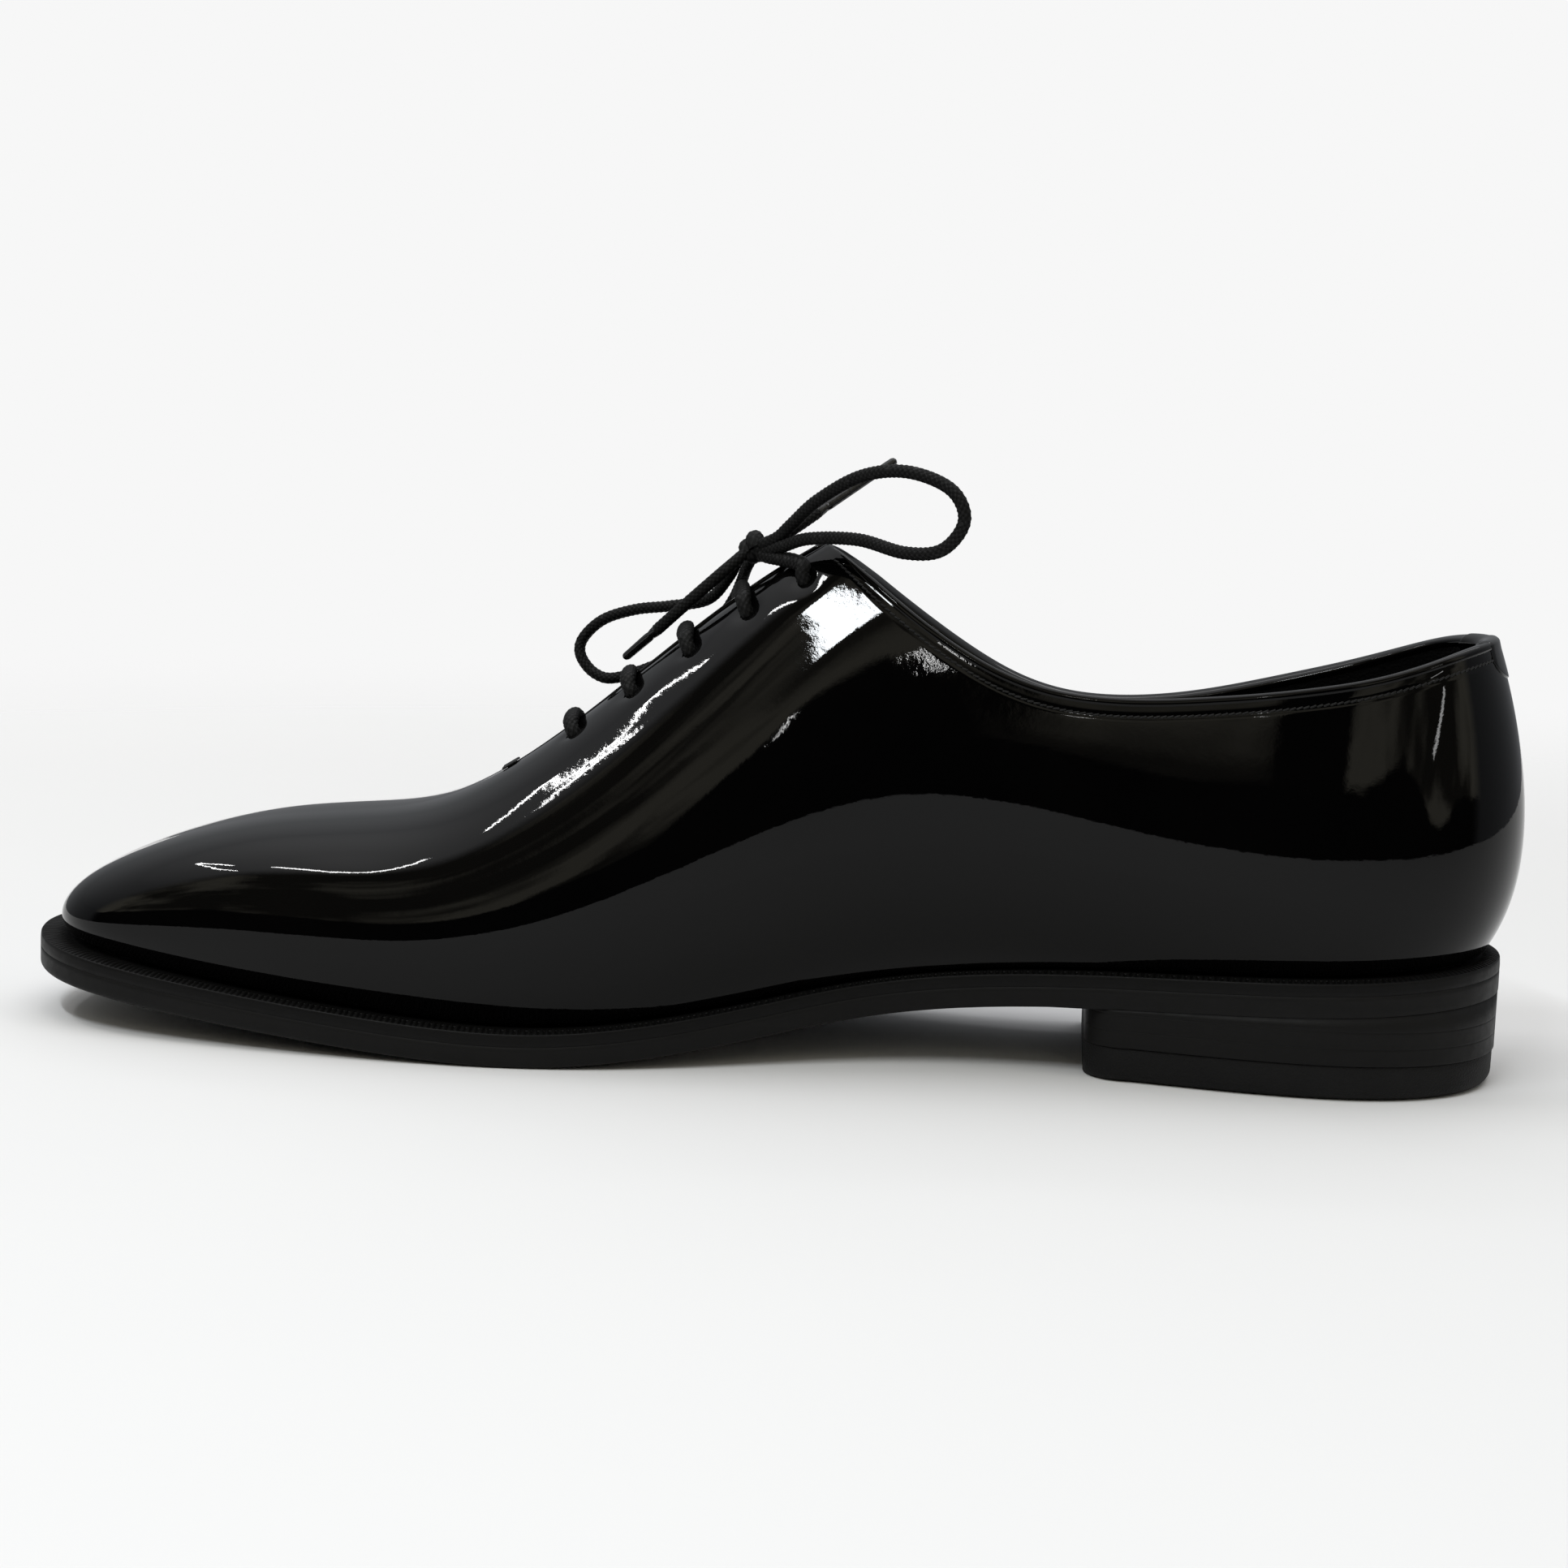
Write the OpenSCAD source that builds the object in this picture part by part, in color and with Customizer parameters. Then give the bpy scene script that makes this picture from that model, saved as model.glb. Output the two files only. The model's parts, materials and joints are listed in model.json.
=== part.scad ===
// Right-foot wholecut oxford: a lasted leather upper on a welted leather sole with a stacked heel.
// X runs from the heel to the toe, Y to the inner (medial) side of the foot, Z up from the ground.
// The origin is on the ground, in the heel's tread face.

/* [Last] */
// Length of the line where the upper meets the welt, heel to toe
feather_len = 289; // [276:1:304]
// Width across the ball of the upper, at the welt
ball_w = 86.6; // [80:0.2:92]
// Rise of the ridge above the welt at the top of the facings
instep_rise = 91; // [86:1:96]

/* [Sole] */
// Thickness of the outsole
outsole_t = 4.2; // [3.5:0.1:5]
// Thickness of the welt
welt_t = 2.55; // [2:0.05:3]
// Thickness of the rubber top lift that meets the ground
top_lift_t = 7; // [5:0.5:8]
// Length of the heel, from its back to its breast
heel_len = 82.5; // [72:0.5:86]
// Radius of the heel nails
nail_r = 0.8; // [0.6:0.1:1]

/* [Upper] */
// Thickness of the patent leather
leather_t = 1.3; // [1:0.1:1.6]
// Thickness of the stiffeners and interlining behind the leather
backing_t = 0.8; // [0.6:0.1:1]
// Thickness of the leather lining
lining_t = 0.9; // [0.7:0.1:1.1]
// Leather turned in under the insole
margin_w = 11; // [8:1:13]
// Half the gap between the facings at their top
facing_gap = 2; // [1:0.1:3]

/* [Lace] */
// Diameter of the round waxed lace
lace_d = 2.6; // [2.2:0.1:2.8]
// Radius of a lace hole
hole_r = 2.2; // [2:0.1:2.4]

/* [Hidden] */

gap = 0.15; // clearance between stacked layers
step = 20; // spacing of the tables that run along the shoe
half_len = feather_len / 2;
mid_x = half_len - 27.5; // the feather line starts 27.5 behind the origin
ky = ball_w / 86.6;
kz = instep_rise / 91;
seat_rise = outsole_t + welt_t + 2 * gap; // ground side of the outsole to the feather line
lateral = 0;
medial = 1;

// Underside of the outsole above the ground, every 20 mm from x = -40: heel seat, waist, ball, toe spring
sole_rise = [19, 17.9, 16.6, 15.7, 14.8, 13.7, 12, 9.1, 4.9, 1.6, 0, 0.6, 2.2, 4.1, 6.2, 8.7, 11.6, 14.8];

// Shape of the last at 21 stations. Station k sits at 9*k degrees along the length, closer together
// at the ends, where a half width that falls evenly to 0 makes a round toe and a round heel.
inner_half = [0, 10, 18.6, 24.8, 28, 28, 25.6, 22, 19.8, 20.8, 27,
              34, 37.6, 37.6, 35.8, 33, 29.5, 25.4, 20, 11.6, 0];
outer_half = [0, 10, 18.8, 25, 28.3, 28.8, 28, 27.6, 29.2, 34, 40.5,
              46.5, 49, 47.3, 42.7, 37.3, 31.8, 26, 19.6, 11, 0];
ridge_rise = [104.6, 104.7, 105.1, 105.7, 106.4, 106.6, 106.3, 104.8, 101.3, 93, 84.8,
              71.4, 54.3, 39.9, 34.5, 30.8, 25.8, 20.2, 14.6, 8.5, 0];

// At 11 stations, 18 degrees apart: how far the wall bulges past the feather line, how high up
// the bulge peaks, how hollow the wall is under the bulge (1 is a plain swell), how square the
// cross-section is (2 is an ellipse), and how far the ridge leans to the inner side.
inner_bulge = [7.4, 6.8, 6.6, 8.5, 11.7, 11.3, 7.3, 4.3, 2.9, 3.4, 4];
inner_bulge_z = [29.6, 26.7, 26.4, 28.8, 39.7, 46.9, 31.1, 17.6, 12.1, 7.2, 5.4];
outer_bulge = [7.4, 6.8, 5.5, 5.5, 6.5, 6.5, 5.5, 4.2, 3, 3.4, 4];
outer_bulge_z = [29.6, 26.7, 23, 22, 24, 26, 22, 16.5, 12, 7.2, 5.4];
hollow = [1, 1, 1.2, 1.6, 2, 2, 1.6, 1.2, 1, 1, 1];
squareness = [2, 2, 2, 2, 2, 2, 2.1, 2.89, 3.12, 2.98, 2.63];
ridge_lean = [0, 0, 0, 1, 3, 5, 5, 3, 1, 0, 0];
back_lean = 5.5; // how far the top of the back curve leans forward again
back_rise = 62; // height of the back curve

// Height of the topline above the ground, every 10 mm from x = -40
inner_topline = [89, 88.6, 87.2, 84.2, 81.2, 79.2, 77.6, 76.4, 75.5, 75.4, 76.4, 79.2, 83.8, 89.8, 96.8, 103.5];
outer_topline = [89, 88.4, 86.6, 83.2, 79.8, 77, 74.4, 72.2, 70.8, 70.4, 71.4, 74.6, 80.2, 87.4, 95.6, 103.5];

// How far the outsole and welt stand out past the feather line, at 11 stations
edge_out = [3.8, 4.2, 4.2, 3.4, 2.8, 3.6, 5.2, 5.4, 6, 7, 8];

throat = 111.5; // station angle where the slit between the facings ends
holes = 5; // lace holes on each facing, from the throat up
hole_first = 106.2;
hole_step = 4.5;
breast_x = heel_len - 31;

// ---- Smooth tables ----------------------------------------------------------------------
// A table is read with a cubic B-spline. Past its ends it mirrors, and m is -1 at an end
// where the mirrored values change sign.
function entry(t, k, m) =
    k < 0 ? m[0] * t[-k] : k > len(t) - 1 ? m[1] * t[2 * (len(t) - 1) - k] : t[k];
function control(t, k, m) =
    entry(t, k, m) - (entry(t, k + 1, m) - 2 * entry(t, k, m) + entry(t, k - 1, m)) / 6;
function smooth(t, s, m = [1, 1]) =
    let (k = floor(s), f = s - k, g = 1 - f)
    (g * g * g * control(t, k - 1, m) + (3 * f * f * f - 6 * f * f + 4) * control(t, k, m)
        + (3 * g * g * g - 6 * g * g + 4) * control(t, k + 1, m) + f * f * f * control(t, k + 2, m)) / 6;

// ---- The last ---------------------------------------------------------------------------
function station_x(phi) = mid_x - half_len * cos(phi);
function station_at(x) = acos((mid_x - x) / half_len);
function sole_z(x) = smooth(sole_rise, (x + 40) / step);
function feather_z(x) = sole_z(x) + seat_rise;
function ridge(phi) = kz * smooth(ridge_rise, phi / 9, [1, -1]);
function half_width(phi, side) = ky * smooth(side == medial ? inner_half : outer_half, phi / 9, [-1, -1]);
function sign_of(side) = side == medial ? 1 : -1;
function unit(v) = v / norm(v);

// A point of the feather line in plan, and the way out from it
function plan(phi, side) = [station_x(phi), sign_of(side) * half_width(phi, side)];
function way_out(phi, side) =
    let (t = plan(phi + 0.5, side) - plan(phi - 0.5, side))
    unit(sign_of(side) * [-t.y, t.x]);
function plan_out(phi, side, far) = plan(phi, side) + far * way_out(phi, side);

// How much of the section's half width is left at an angle theta round it
function across(phi, theta) =
    let (n = smooth(squareness, phi / 18))
    (theta > 90 ? -1 : 1) * pow(max(0, 1 - pow(abs(sin(theta)), n)), 1 / n);
// The outer face of the upper: theta is 0 at the feather line and 90 on the ridge
function face(phi, side, theta) =
    let (
        rise = ridge(phi) * sin(theta),
        out = way_out(phi, side),
        peak = smooth(side == medial ? inner_bulge_z : outer_bulge_z, phi / 18),
        share = max(0, rise) / peak,
        swell = pow(share * exp(1 - share), side == medial ? smooth(hollow, phi / 18) : 1),
        bulge = smooth(side == medial ? inner_bulge : outer_bulge, phi / 18) * swell,
        lean = out.x < 0 ? back_lean * out.x * out.x * pow(max(0, rise) / back_rise, 3) : 0
    )
    [
        station_x(phi) + out.x * bulge + lean,
        sign_of(side) * across(phi, theta) * (half_width(phi, side) + bulge * abs(out.y))
            + smooth(ridge_lean, phi / 18) * sin(theta) * sin(theta),
        feather_z(station_x(phi)) + rise
    ];
function face_normal(phi, side, theta) =
    let (
        p = min(phi, 179),
        a = face(p + 0.5, side, theta) - face(p - 0.5, side, theta),
        b = face(p, side, theta + 1) - face(p, side, max(theta - 1, 0))
    )
    unit(-sign_of(side) * cross(a, b));
// A point that lies depth below the outer face; a negative depth is above it
function skin(phi, side, theta, depth) = face(phi, side, theta) - depth * face_normal(phi, side, theta);

// ---- Edges of the upper -----------------------------------------------------------------
function topline_z(x, side) = smooth(side == medial ? inner_topline : outer_topline, (x + 40) / 10);
function angle_at_height(phi, z) =
    asin(min(1, max(0, (z - feather_z(station_x(phi))) / ridge(phi))));
function slit_angle(phi, side) =
    let (
        open = facing_gap * min(1, (throat - phi) / (throat - 88)),
        n = smooth(squareness, phi / 18)
    )
    asin(pow(1 - pow(max(0, open) / (half_width(phi, side) + 6), n), 1 / n));
function top_angle(phi, side) =
    phi >= throat ? 90
    : phi > 89 ? slit_angle(phi, side)
    : min(slit_angle(phi, side), angle_at_height(phi, topline_z(station_x(phi), side)));

heel_rows = [for (p = [0 : 5 : 75]) p];
collar_rows = [77, 79, 80.5, 82, 83.5, 85, 86.5, 88];
slit_rows = [for (k = [0 : 4]) 92 + k * (throat - 92) / 4];
toe_rows = [for (k = [1 : 15]) throat + k * (180 - throat) / 15];
split = 0.4; // butt gap between neighbouring pieces of one layer, in station degrees
counter_end = 50;
puff_start = 150;
seam_rows = [counter_end + split, throat - split, puff_start - split, puff_start];
all_rows = sorted(concat(heel_rows, collar_rows, slit_rows, toe_rows, seam_rows));
cols = 11; // columns of every layer, from the feather line to its upper edge
function sorted(v) = len(v) < 2 ? v
    : let (m = v[floor(len(v) / 2)])
    concat(sorted([for (a = v) if (a < m) a]), [m], sorted([for (a = v) if (a > m) a]));
function rows_between(a, b) = [for (p = all_rows) if (p >= a - 0.01 && p <= b + 0.01) p];

// ---- Builders ---------------------------------------------------------------------------
// A layer of the upper, wrapped round the last between two depths. It runs from the low angle,
// or from a margin turned in under the foot, to the high angle on each side, and keep cuts it off
// after that many columns. The sides join along the ridge from the station joined, at the back
// seam, and at the toe.
module wrap(rows, depths, high, low = function (phi, side) 0, margin = 0, joined = 180, cols = cols, keep = 99) {
    n = len(rows) - 1;
    c_top = min(cols, keep);
    row_size = 2 * (c_top + 1);
    layer_size = (n + 1) * row_size;
    pole = rows[n] == 180;
    seam = rows[0] == 0;
    function at_pole(i) = pole && i == n;
    function shared(i, c) = (seam && i == 0) || (c == c_top && rows[i] >= joined);
    function id(i, side, c) =
        i * row_size + (at_pole(i) ? min(c, 1) : (shared(i, c) ? 0 : side * (c_top + 1)) + c);
    function point(i, side, c, depth) =
        let (
            phi = rows[i],
            in_plan = plan_out(phi, side, c == 0 ? -margin : -depth),
            lo = low(phi, side),
            theta = margin > 0 ? high(phi, side) * (c - 1) / (cols - 1)
                               : lo + (high(phi, side) - lo) * c / cols
        )
        margin > 0 && (c < 2 || at_pole(i))
            ? [in_plan.x, at_pole(i) || (seam && i == 0) ? 0 : in_plan.y, feather_z(in_plan.x) + depth]
        : shared(i, c) ? let (q = skin(phi, medial, theta, depth)) [q.x, seam && i == 0 ? 0 : q.y, q.z]
        : skin(phi, side, theta, depth);
    points = [for (depth = depths, i = [0 : n], side = [lateral, medial], c = [0 : c_top]) point(i, side, c, depth)];
    function tidy(tris) = [for (t = tris) if (t[0] != t[1] && t[1] != t[2] && t[0] != t[2]) t];
    function quad(a, b, c, d) = [[a, b, c], [a, c, d]];
    function turned(side, a, b, c, d) = side == medial ? quad(a, b, c, d) : quad(a, d, c, b);
    faces = [
        for (side = [lateral, medial], i = [0 : n - 1], c = [0 : c_top - 1])
            let (a = id(i, side, c), b = id(i + 1, side, c), d = id(i + 1, side, c + 1), e = id(i, side, c + 1))
            each concat(turned(side, a, b, d, e),
                turned(side, e + layer_size, d + layer_size, b + layer_size, a + layer_size)),
        for (side = [lateral, medial], i = [0 : n - 1])
            let (a = id(i, side, 0), b = id(i + 1, side, 0))
            each turned(side, b, a, a + layer_size, b + layer_size),
        for (side = [lateral, medial], i = [0 : n - 1])
            let (a = id(i, side, c_top), b = id(i + 1, side, c_top))
            if (rows[i] < joined) each turned(side, a, b, b + layer_size, a + layer_size),
        for (side = [lateral, medial], c = [0 : c_top - 1])
            let (a = id(0, side, c), b = id(0, side, c + 1))
            if (!seam) each turned(side, a, b, b + layer_size, a + layer_size),
        for (side = [lateral, medial], c = [0 : c_top - 1])
            let (a = id(n, side, c), b = id(n, side, c + 1))
            if (!pole) each turned(side, b, a, a + layer_size, b + layer_size)
    ];
    polyhedron(points, tidy(faces), convexity = 10);
}

// A plate across the shoe. out is how far its edge stands past the feather line, and its faces
// lie at low and high, functions of x. Its front is cut square at x = front.
module plate(rows, out, low, high, front = 1000) {
    n = len(rows) - 1;
    function edge(phi, side) = plan_out(phi, side, out(phi));
    function corner(phi, side, z) =
        let (p = edge(phi, side), x = min(p.x, front))
        [x, phi == 0 || phi == 180 ? 0 : p.y, z(x)];
    function id(i, side, up) =
        i * 4 + up * 2 + (rows[i] == 0 || rows[i] == 180 ? 0 : side);
    points = [for (phi = rows, z = [low, high], side = [lateral, medial]) corner(phi, side, z)];
    function quad(a, b, c, d) = [[a, b, c], [a, c, d]];
    function tidy(tris) = [for (t = tris) if (t[0] != t[1] && t[1] != t[2] && t[0] != t[2]) t];
    faces = [
        for (i = [0 : n - 1]) each concat(
            quad(id(i, 0, 1), id(i, 1, 1), id(i + 1, 1, 1), id(i + 1, 0, 1)),
            quad(id(i, 0, 0), id(i + 1, 0, 0), id(i + 1, 1, 0), id(i, 1, 0)),
            quad(id(i, 1, 0), id(i + 1, 1, 0), id(i + 1, 1, 1), id(i, 1, 1)),
            quad(id(i, 0, 0), id(i, 0, 1), id(i + 1, 0, 1), id(i + 1, 0, 0))),
        each quad(id(0, 0, 0), id(0, 1, 0), id(0, 1, 1), id(0, 0, 1)),
        each quad(id(n, 0, 0), id(n, 0, 1), id(n, 1, 1), id(n, 1, 0))
    ];
    polyhedron(points, tidy(faces), convexity = 6);
}

// A closed strip that follows the feather line, between two distances past it
module ring(rows, inner, outer, low, high) {
    n = len(rows) - 1;
    function corner(phi, side, k) =
        let (p = plan_out(phi, side, k < 2 ? outer(phi) : inner(phi)))
        [p.x, phi == 0 || phi == 180 ? 0 : p.y, k == 0 || k == 3 ? low(p.x) : high(p.x)];
    function id(i, side, k) = (i * 2 + (i == 0 || i == n ? 0 : side)) * 4 + k;
    points = [for (phi = rows, side = [lateral, medial], k = [0 : 3]) corner(phi, side, k)];
    faces = [for (side = [lateral, medial], i = [0 : n - 1], k = [0 : 3])
        let (m = (k + 1) % 4, a = id(i, side, k), b = id(i + 1, side, k), c = id(i + 1, side, m), d = id(i, side, m))
        each side == medial ? [[a, b, c], [a, c, d]] : [[a, d, c], [a, c, b]]];
    polyhedron(points, faces, convexity = 6);
}

// A round cord swept along a path, with its frame carried along so that it never twists
module cord(path, d, sides = 8) {
    n = len(path);
    function tangent(i) = unit(path[min(i + 1, n - 1)] - path[max(i - 1, 0)]);
    function square_to(u, v) = unit(u - (u * v) * v);
    frames = [for (i = 0, u = square_to([0.2, 1, 0.1], tangent(0)); i < n;
        i = i + 1, u = i < n ? square_to(u, tangent(i)) : u) u];
    points = [for (i = [0 : n - 1], k = [0 : sides - 1])
        let (u = frames[i], m = cross(tangent(i), u), a = 360 * k / sides)
        path[i] + (u * cos(a) + m * sin(a)) * d / 2];
    walls = [for (i = [0 : n - 2], k = [0 : sides - 1])
        let (m = (k + 1) % sides, j = i + 1)
        each [[i * sides + k, j * sides + k, j * sides + m], [i * sides + k, j * sides + m, i * sides + m]]];
    caps = [for (k = [1 : sides - 2]) each [
        [0, k, k + 1],
        [(n - 1) * sides, (n - 1) * sides + k + 1, (n - 1) * sides + k]
    ]];
    polyhedron(points, concat(walls, caps), convexity = 10);
}

// Points along a smooth curve through the way points
function curve(pts, per = 6) = [
    for (i = [0 : len(pts) - 2], k = [0 : per - 1]) spline_point(pts, i, k / per),
    pts[len(pts) - 1]
];
function spline_point(p, i, f) =
    let (
        a = p[max(i - 1, 0)], b = p[i], c = p[i + 1], d = p[min(i + 2, len(p) - 1)]
    )
    0.5 * ((2 * b) + (c - a) * f + (2 * a - 5 * b + 4 * c - d) * f * f + (3 * b - a - 3 * c + d) * f * f * f);

// A round rod between two points
module rod(a, b, r) {
    v = b - a;
    translate(a)
        rotate([0, acos(v.z / norm(v)), atan2(v.y, v.x)])
            cylinder(h = norm(v), r = r, $fn = 16);
}

// ---- Sole and heel ----------------------------------------------------------------------
function edge_at(phi) = smooth(edge_out, phi / 18);
welt_z0 = outsole_t + gap;
insole_lift = leather_t + backing_t + lining_t + 3 * gap; // above the feather line
insole_t = 2.6;
sock_t = 1;
function insole_inset(phi) = 4.3 + 7 * pow(max(0, phi - 125) / 55, 2);

module outsole() color("#1c1a19")
    plate(all_rows, function (phi) edge_at(phi), function (x) sole_z(x), function (x) sole_z(x) + outsole_t);

module welt() color("#191817")
    ring(all_rows, function (phi) -4, function (phi) edge_at(phi) - 0.3,
        function (x) sole_z(x) + welt_z0, function (x) sole_z(x) + welt_z0 + welt_t);

module welt_thread() color("#111111")
    for (side = [lateral, medial], phi = [3 : 2 : 177])
        let (
            a = plan_out(phi - 0.6, side, edge_at(phi) - 2),
            b = plan_out(phi + 0.6, side, edge_at(phi) - 2),
            top = welt_z0 + welt_t + 0.42
        )
        rod([a.x, a.y, sole_z(a.x) + top], [b.x, b.y, sole_z(b.x) + top], 0.3);

module cork_filler() color("#7a5a3c")
    plate(rows_between(10, 171), function (phi) -margin_w - 1,
        function (x) sole_z(x) + welt_z0, function (x) feather_z(x) + 1.6);

// The steel shank lies under the insole, from the heel seat to the ball
module shank() color("#8c8f94") {
    xs = [for (x = [5 : 10 : 125]) x];
    n = len(xs) - 1;
    points = [for (x = xs, z = [1.75, 2.75], y = [-7, 7]) [x, y - 2, feather_z(x) + z]];
    faces = [
        for (i = [0 : n - 1]) let (a = i * 4, b = a + 4) each [
            [a + 2, a + 3, b + 3], [a + 2, b + 3, b + 2], [a, b, b + 1], [a, b + 1, a + 1],
            [a + 1, b + 1, b + 3], [a + 1, b + 3, a + 3], [a, a + 2, b + 2], [a, b + 2, b]],
        [0, 1, 3], [0, 3, 2],
        [n * 4, n * 4 + 2, n * 4 + 3], [n * 4, n * 4 + 3, n * 4 + 1]
    ];
    polyhedron(points, faces);
}

module insole() color("#b08a5e")
    plate(all_rows, function (phi) -insole_inset(phi),
        function (x) feather_z(x) + insole_lift, function (x) feather_z(x) + insole_lift + insole_t);

module sock_liner() color("#17161a")
    plate(all_rows, function (phi) -insole_inset(phi) - 0.2,
        function (x) feather_z(x) + insole_lift + insole_t + gap,
        function (x) feather_z(x) + insole_lift + insole_t + gap + sock_t);

heel_rows_fine = [for (p = [0 : 4 : 60]) p];
lift_rows = concat(heel_rows_fine, [station_at(breast_x) + 0.6]);
flat_top = sole_z(breast_x) - 0.5; // top of the flat lifts, at the breast
lift_t = (flat_top - top_lift_t - gap) / 2;

module heel_wedge() color("#1c1a19")
    plate(lift_rows, function (phi) edge_at(phi) - 0.2, function (x) flat_top + 0.02,
        function (x) sole_z(x) - gap, breast_x);

// Plan of the heel at a distance in from the outsole edge, with its inner front corner rounded off
module heel_plan(inset) {
    inner = [for (phi = lift_rows) plan_out(phi, medial, edge_at(phi) - inset)];
    outer = [for (phi = lift_rows) plan_out(phi, lateral, edge_at(phi) - inset)];
    clip = 8;
    n = len(inner) - 1;
    polygon([
        for (k = [0 : n]) if (k > 0 && inner[k].x < breast_x - clip) inner[k],
        for (a = [90 : -15 : 0]) [breast_x - clip + clip * cos(a), inner[n].y - clip + clip * sin(a)],
        [breast_x, outer[n].y],
        for (k = [n : -1 : 0]) if (outer[k].x < breast_x - 0.5) outer[k]
    ]);
}
module heel_layer(z, t, inset) difference() {
    translate([0, 0, z]) linear_extrude(t) heel_plan(inset);
    nail_set(nail_r + 0.05, -1, 30);
}

module heel_lift_upper() color("#1d1b1a")
    heel_layer(top_lift_t + gap + lift_t, lift_t, 0.3);

module heel_lift_lower() color("#1c1a1a")
    heel_layer(top_lift_t + gap / 2, lift_t, 0.4);

module top_lift() color("#141414")
    heel_layer(0, top_lift_t, 0.6);

nail_depth = 12;
nail_sunk = 0.3; // the heads sit just below the tread face
module nail_set(r, z, h)
    for (side = [lateral, medial], phi = [12 : 9 : 57])
        let (p = plan_out(phi, side, -3))
        translate([p.x, p.y, z]) cylinder(h = h, r = r, $fn = 20);
module heel_nails() color("#b9a06a")
    nail_set(nail_r, nail_sunk, nail_depth);

// ---- Upper ------------------------------------------------------------------------------
backing_d = [leather_t + gap, leather_t + gap + backing_t];
lining_d = [backing_d[1] + gap, backing_d[1] + gap + lining_t];
// Only the throat end of the slit is joined
function edge_angle() = function (phi, side) top_angle(phi, side);

// The lace holes. The outer ones sit a little further forward, square to the slit in plan.
function hole_station(k, side) = hole_first - hole_step * k + (side == lateral ? 0.5 : 0);
function hole_angle(k) = 13 + 1.25 * k; // round the section from the ridge
module lace_holes(r)
    for (k = [0 : holes - 1], side = [lateral, medial])
        let (a = 90 - hole_angle(k), phi = hole_station(k, side))
        rod(skin(phi, side, a, 9), skin(phi, side, a, -5), r);

module upper() color("#0b0b0c") difference() {
    wrap(all_rows, [0, leather_t], edge_angle(), margin = margin_w, joined = throat);
    lace_holes(hole_r);
}

module toe_puff() color("#6b5a45")
    wrap(rows_between(puff_start, 180), backing_d, edge_angle(), margin = margin_w, joined = 0);

module heel_counter() color("#6b5a45")
    wrap(rows_between(0, counter_end), backing_d, edge_angle(), margin = margin_w, keep = 9);

module interlining() color("#8a8578") difference() {
    wrap(rows_between(counter_end + split, puff_start - split), backing_d, edge_angle(),
        margin = margin_w, joined = throat);
    lace_holes(hole_r);
}

module vamp_lining() color("#c9b490")
    wrap(rows_between(throat, 180), lining_d, edge_angle(), margin = margin_w, joined = 0);

module quarter_lining() color("#1a191c") difference() {
    wrap(rows_between(0, throat - split), lining_d, edge_angle(), margin = margin_w, joined = 200);
    lace_holes(hole_r);
}

// A narrow folded strip that caps the topline over all three layers
module topline_binding() color("#0d0d0e")
    wrap(rows_between(0, 83.5), [-0.45, lining_d[1] + 0.45],
        function (phi, side) top_angle(phi, side) + 0.65,
        low = function (phi, side) top_angle(phi, side) + 0.12, cols = 1);

stitch_pitch = 3.4;
stitch_r = 0.28;
stitch_drop = 1.6; // degrees below the topline
module topline_thread() color("#0a0a0a")
    for (side = [lateral, medial], x = [-14 : stitch_pitch : 94])
        let (
            a = station_at(x), b = station_at(x + stitch_pitch * 0.7),
            ta = top_angle(a, side) - stitch_drop, tb = top_angle(b, side) - stitch_drop
        )
        rod(skin(a, side, ta, -0.45), skin(b, side, tb, -0.45), stitch_r);

// Reinforcement folded over the top of the back seam
module heel_tab() color("#0c0c0d")
    wrap([0, 5, 10, 15, 20], [-0.95, -0.15],
        function (phi, side) top_angle(phi, side) - 0.1,
        low = function (phi, side) top_angle(phi, side) - 7 + 4 * pow(phi / 20, 2), cols = 3);

module throat_tack() color("#0a0a0a")
    for (k = [-1 : 1])
        let (phi = throat + 0.6 + k * 0.35, a = skin(phi, lateral, 87, -0.55), b = skin(phi, medial, 87, -0.55))
        rod(a, b, 0.3);

// Blind eyelets: metal rings behind the facing, round each lace hole
module eyelets() color("#9a9a9c")
    for (k = [0 : holes - 1], side = [lateral, medial])
        let (
            a = 90 - hole_angle(k), phi = hole_station(k, side),
            from = skin(phi, side, a, lining_d[1] + 0.5), v = from - skin(phi, side, a, lining_d[1])
        )
        translate(from)
            rotate([0, acos(v.z / norm(v)), atan2(v.y, v.x)])
                rotate_extrude($fn = 32)
                    translate([hole_r, 0]) square([0.9, 0.3]);

// ---- Tongue -----------------------------------------------------------------------------
tongue_depth = lining_d[1] + 5;
function tongue_low(phi) = 56 - 6 * (throat - phi) / 30;
tongue_rows = rows_between(85, 107.5);

module tongue() color("#0c0c0d")
    wrap(tongue_rows, [tongue_depth, tongue_depth + 1], function (phi, side) 90,
        low = function (phi, side) tongue_low(phi), joined = 0, cols = 6);

module tongue_lining() color("#1a191c")
    wrap(tongue_rows, [tongue_depth + 1 + 2 * gap, tongue_depth + 1.8 + 2 * gap], function (phi, side) 90,
        low = function (phi, side) tongue_low(phi), joined = 0, cols = 6);

// ---- Lace -------------------------------------------------------------------------------
// One bar crosses the slit at each of the four lower pairs of holes. Both ends come out of the top
// pair and meet in the knot. Behind the facings one end runs straight up from bar to bar, and the
// other runs outside it, then slants across under the slit to reach the top hole on its own side.
under = lining_d[1] + 1 + lace_d / 2;
above = -lace_d / 2 - 0.45;
outside = 6; // how far the second run keeps clear of the first, in degrees round the section
function at_hole(k, side, off, depth, ahead = 0) =
    skin(hole_station(k, side) + ahead, side, 90 - hole_angle(k) + off, depth);
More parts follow.
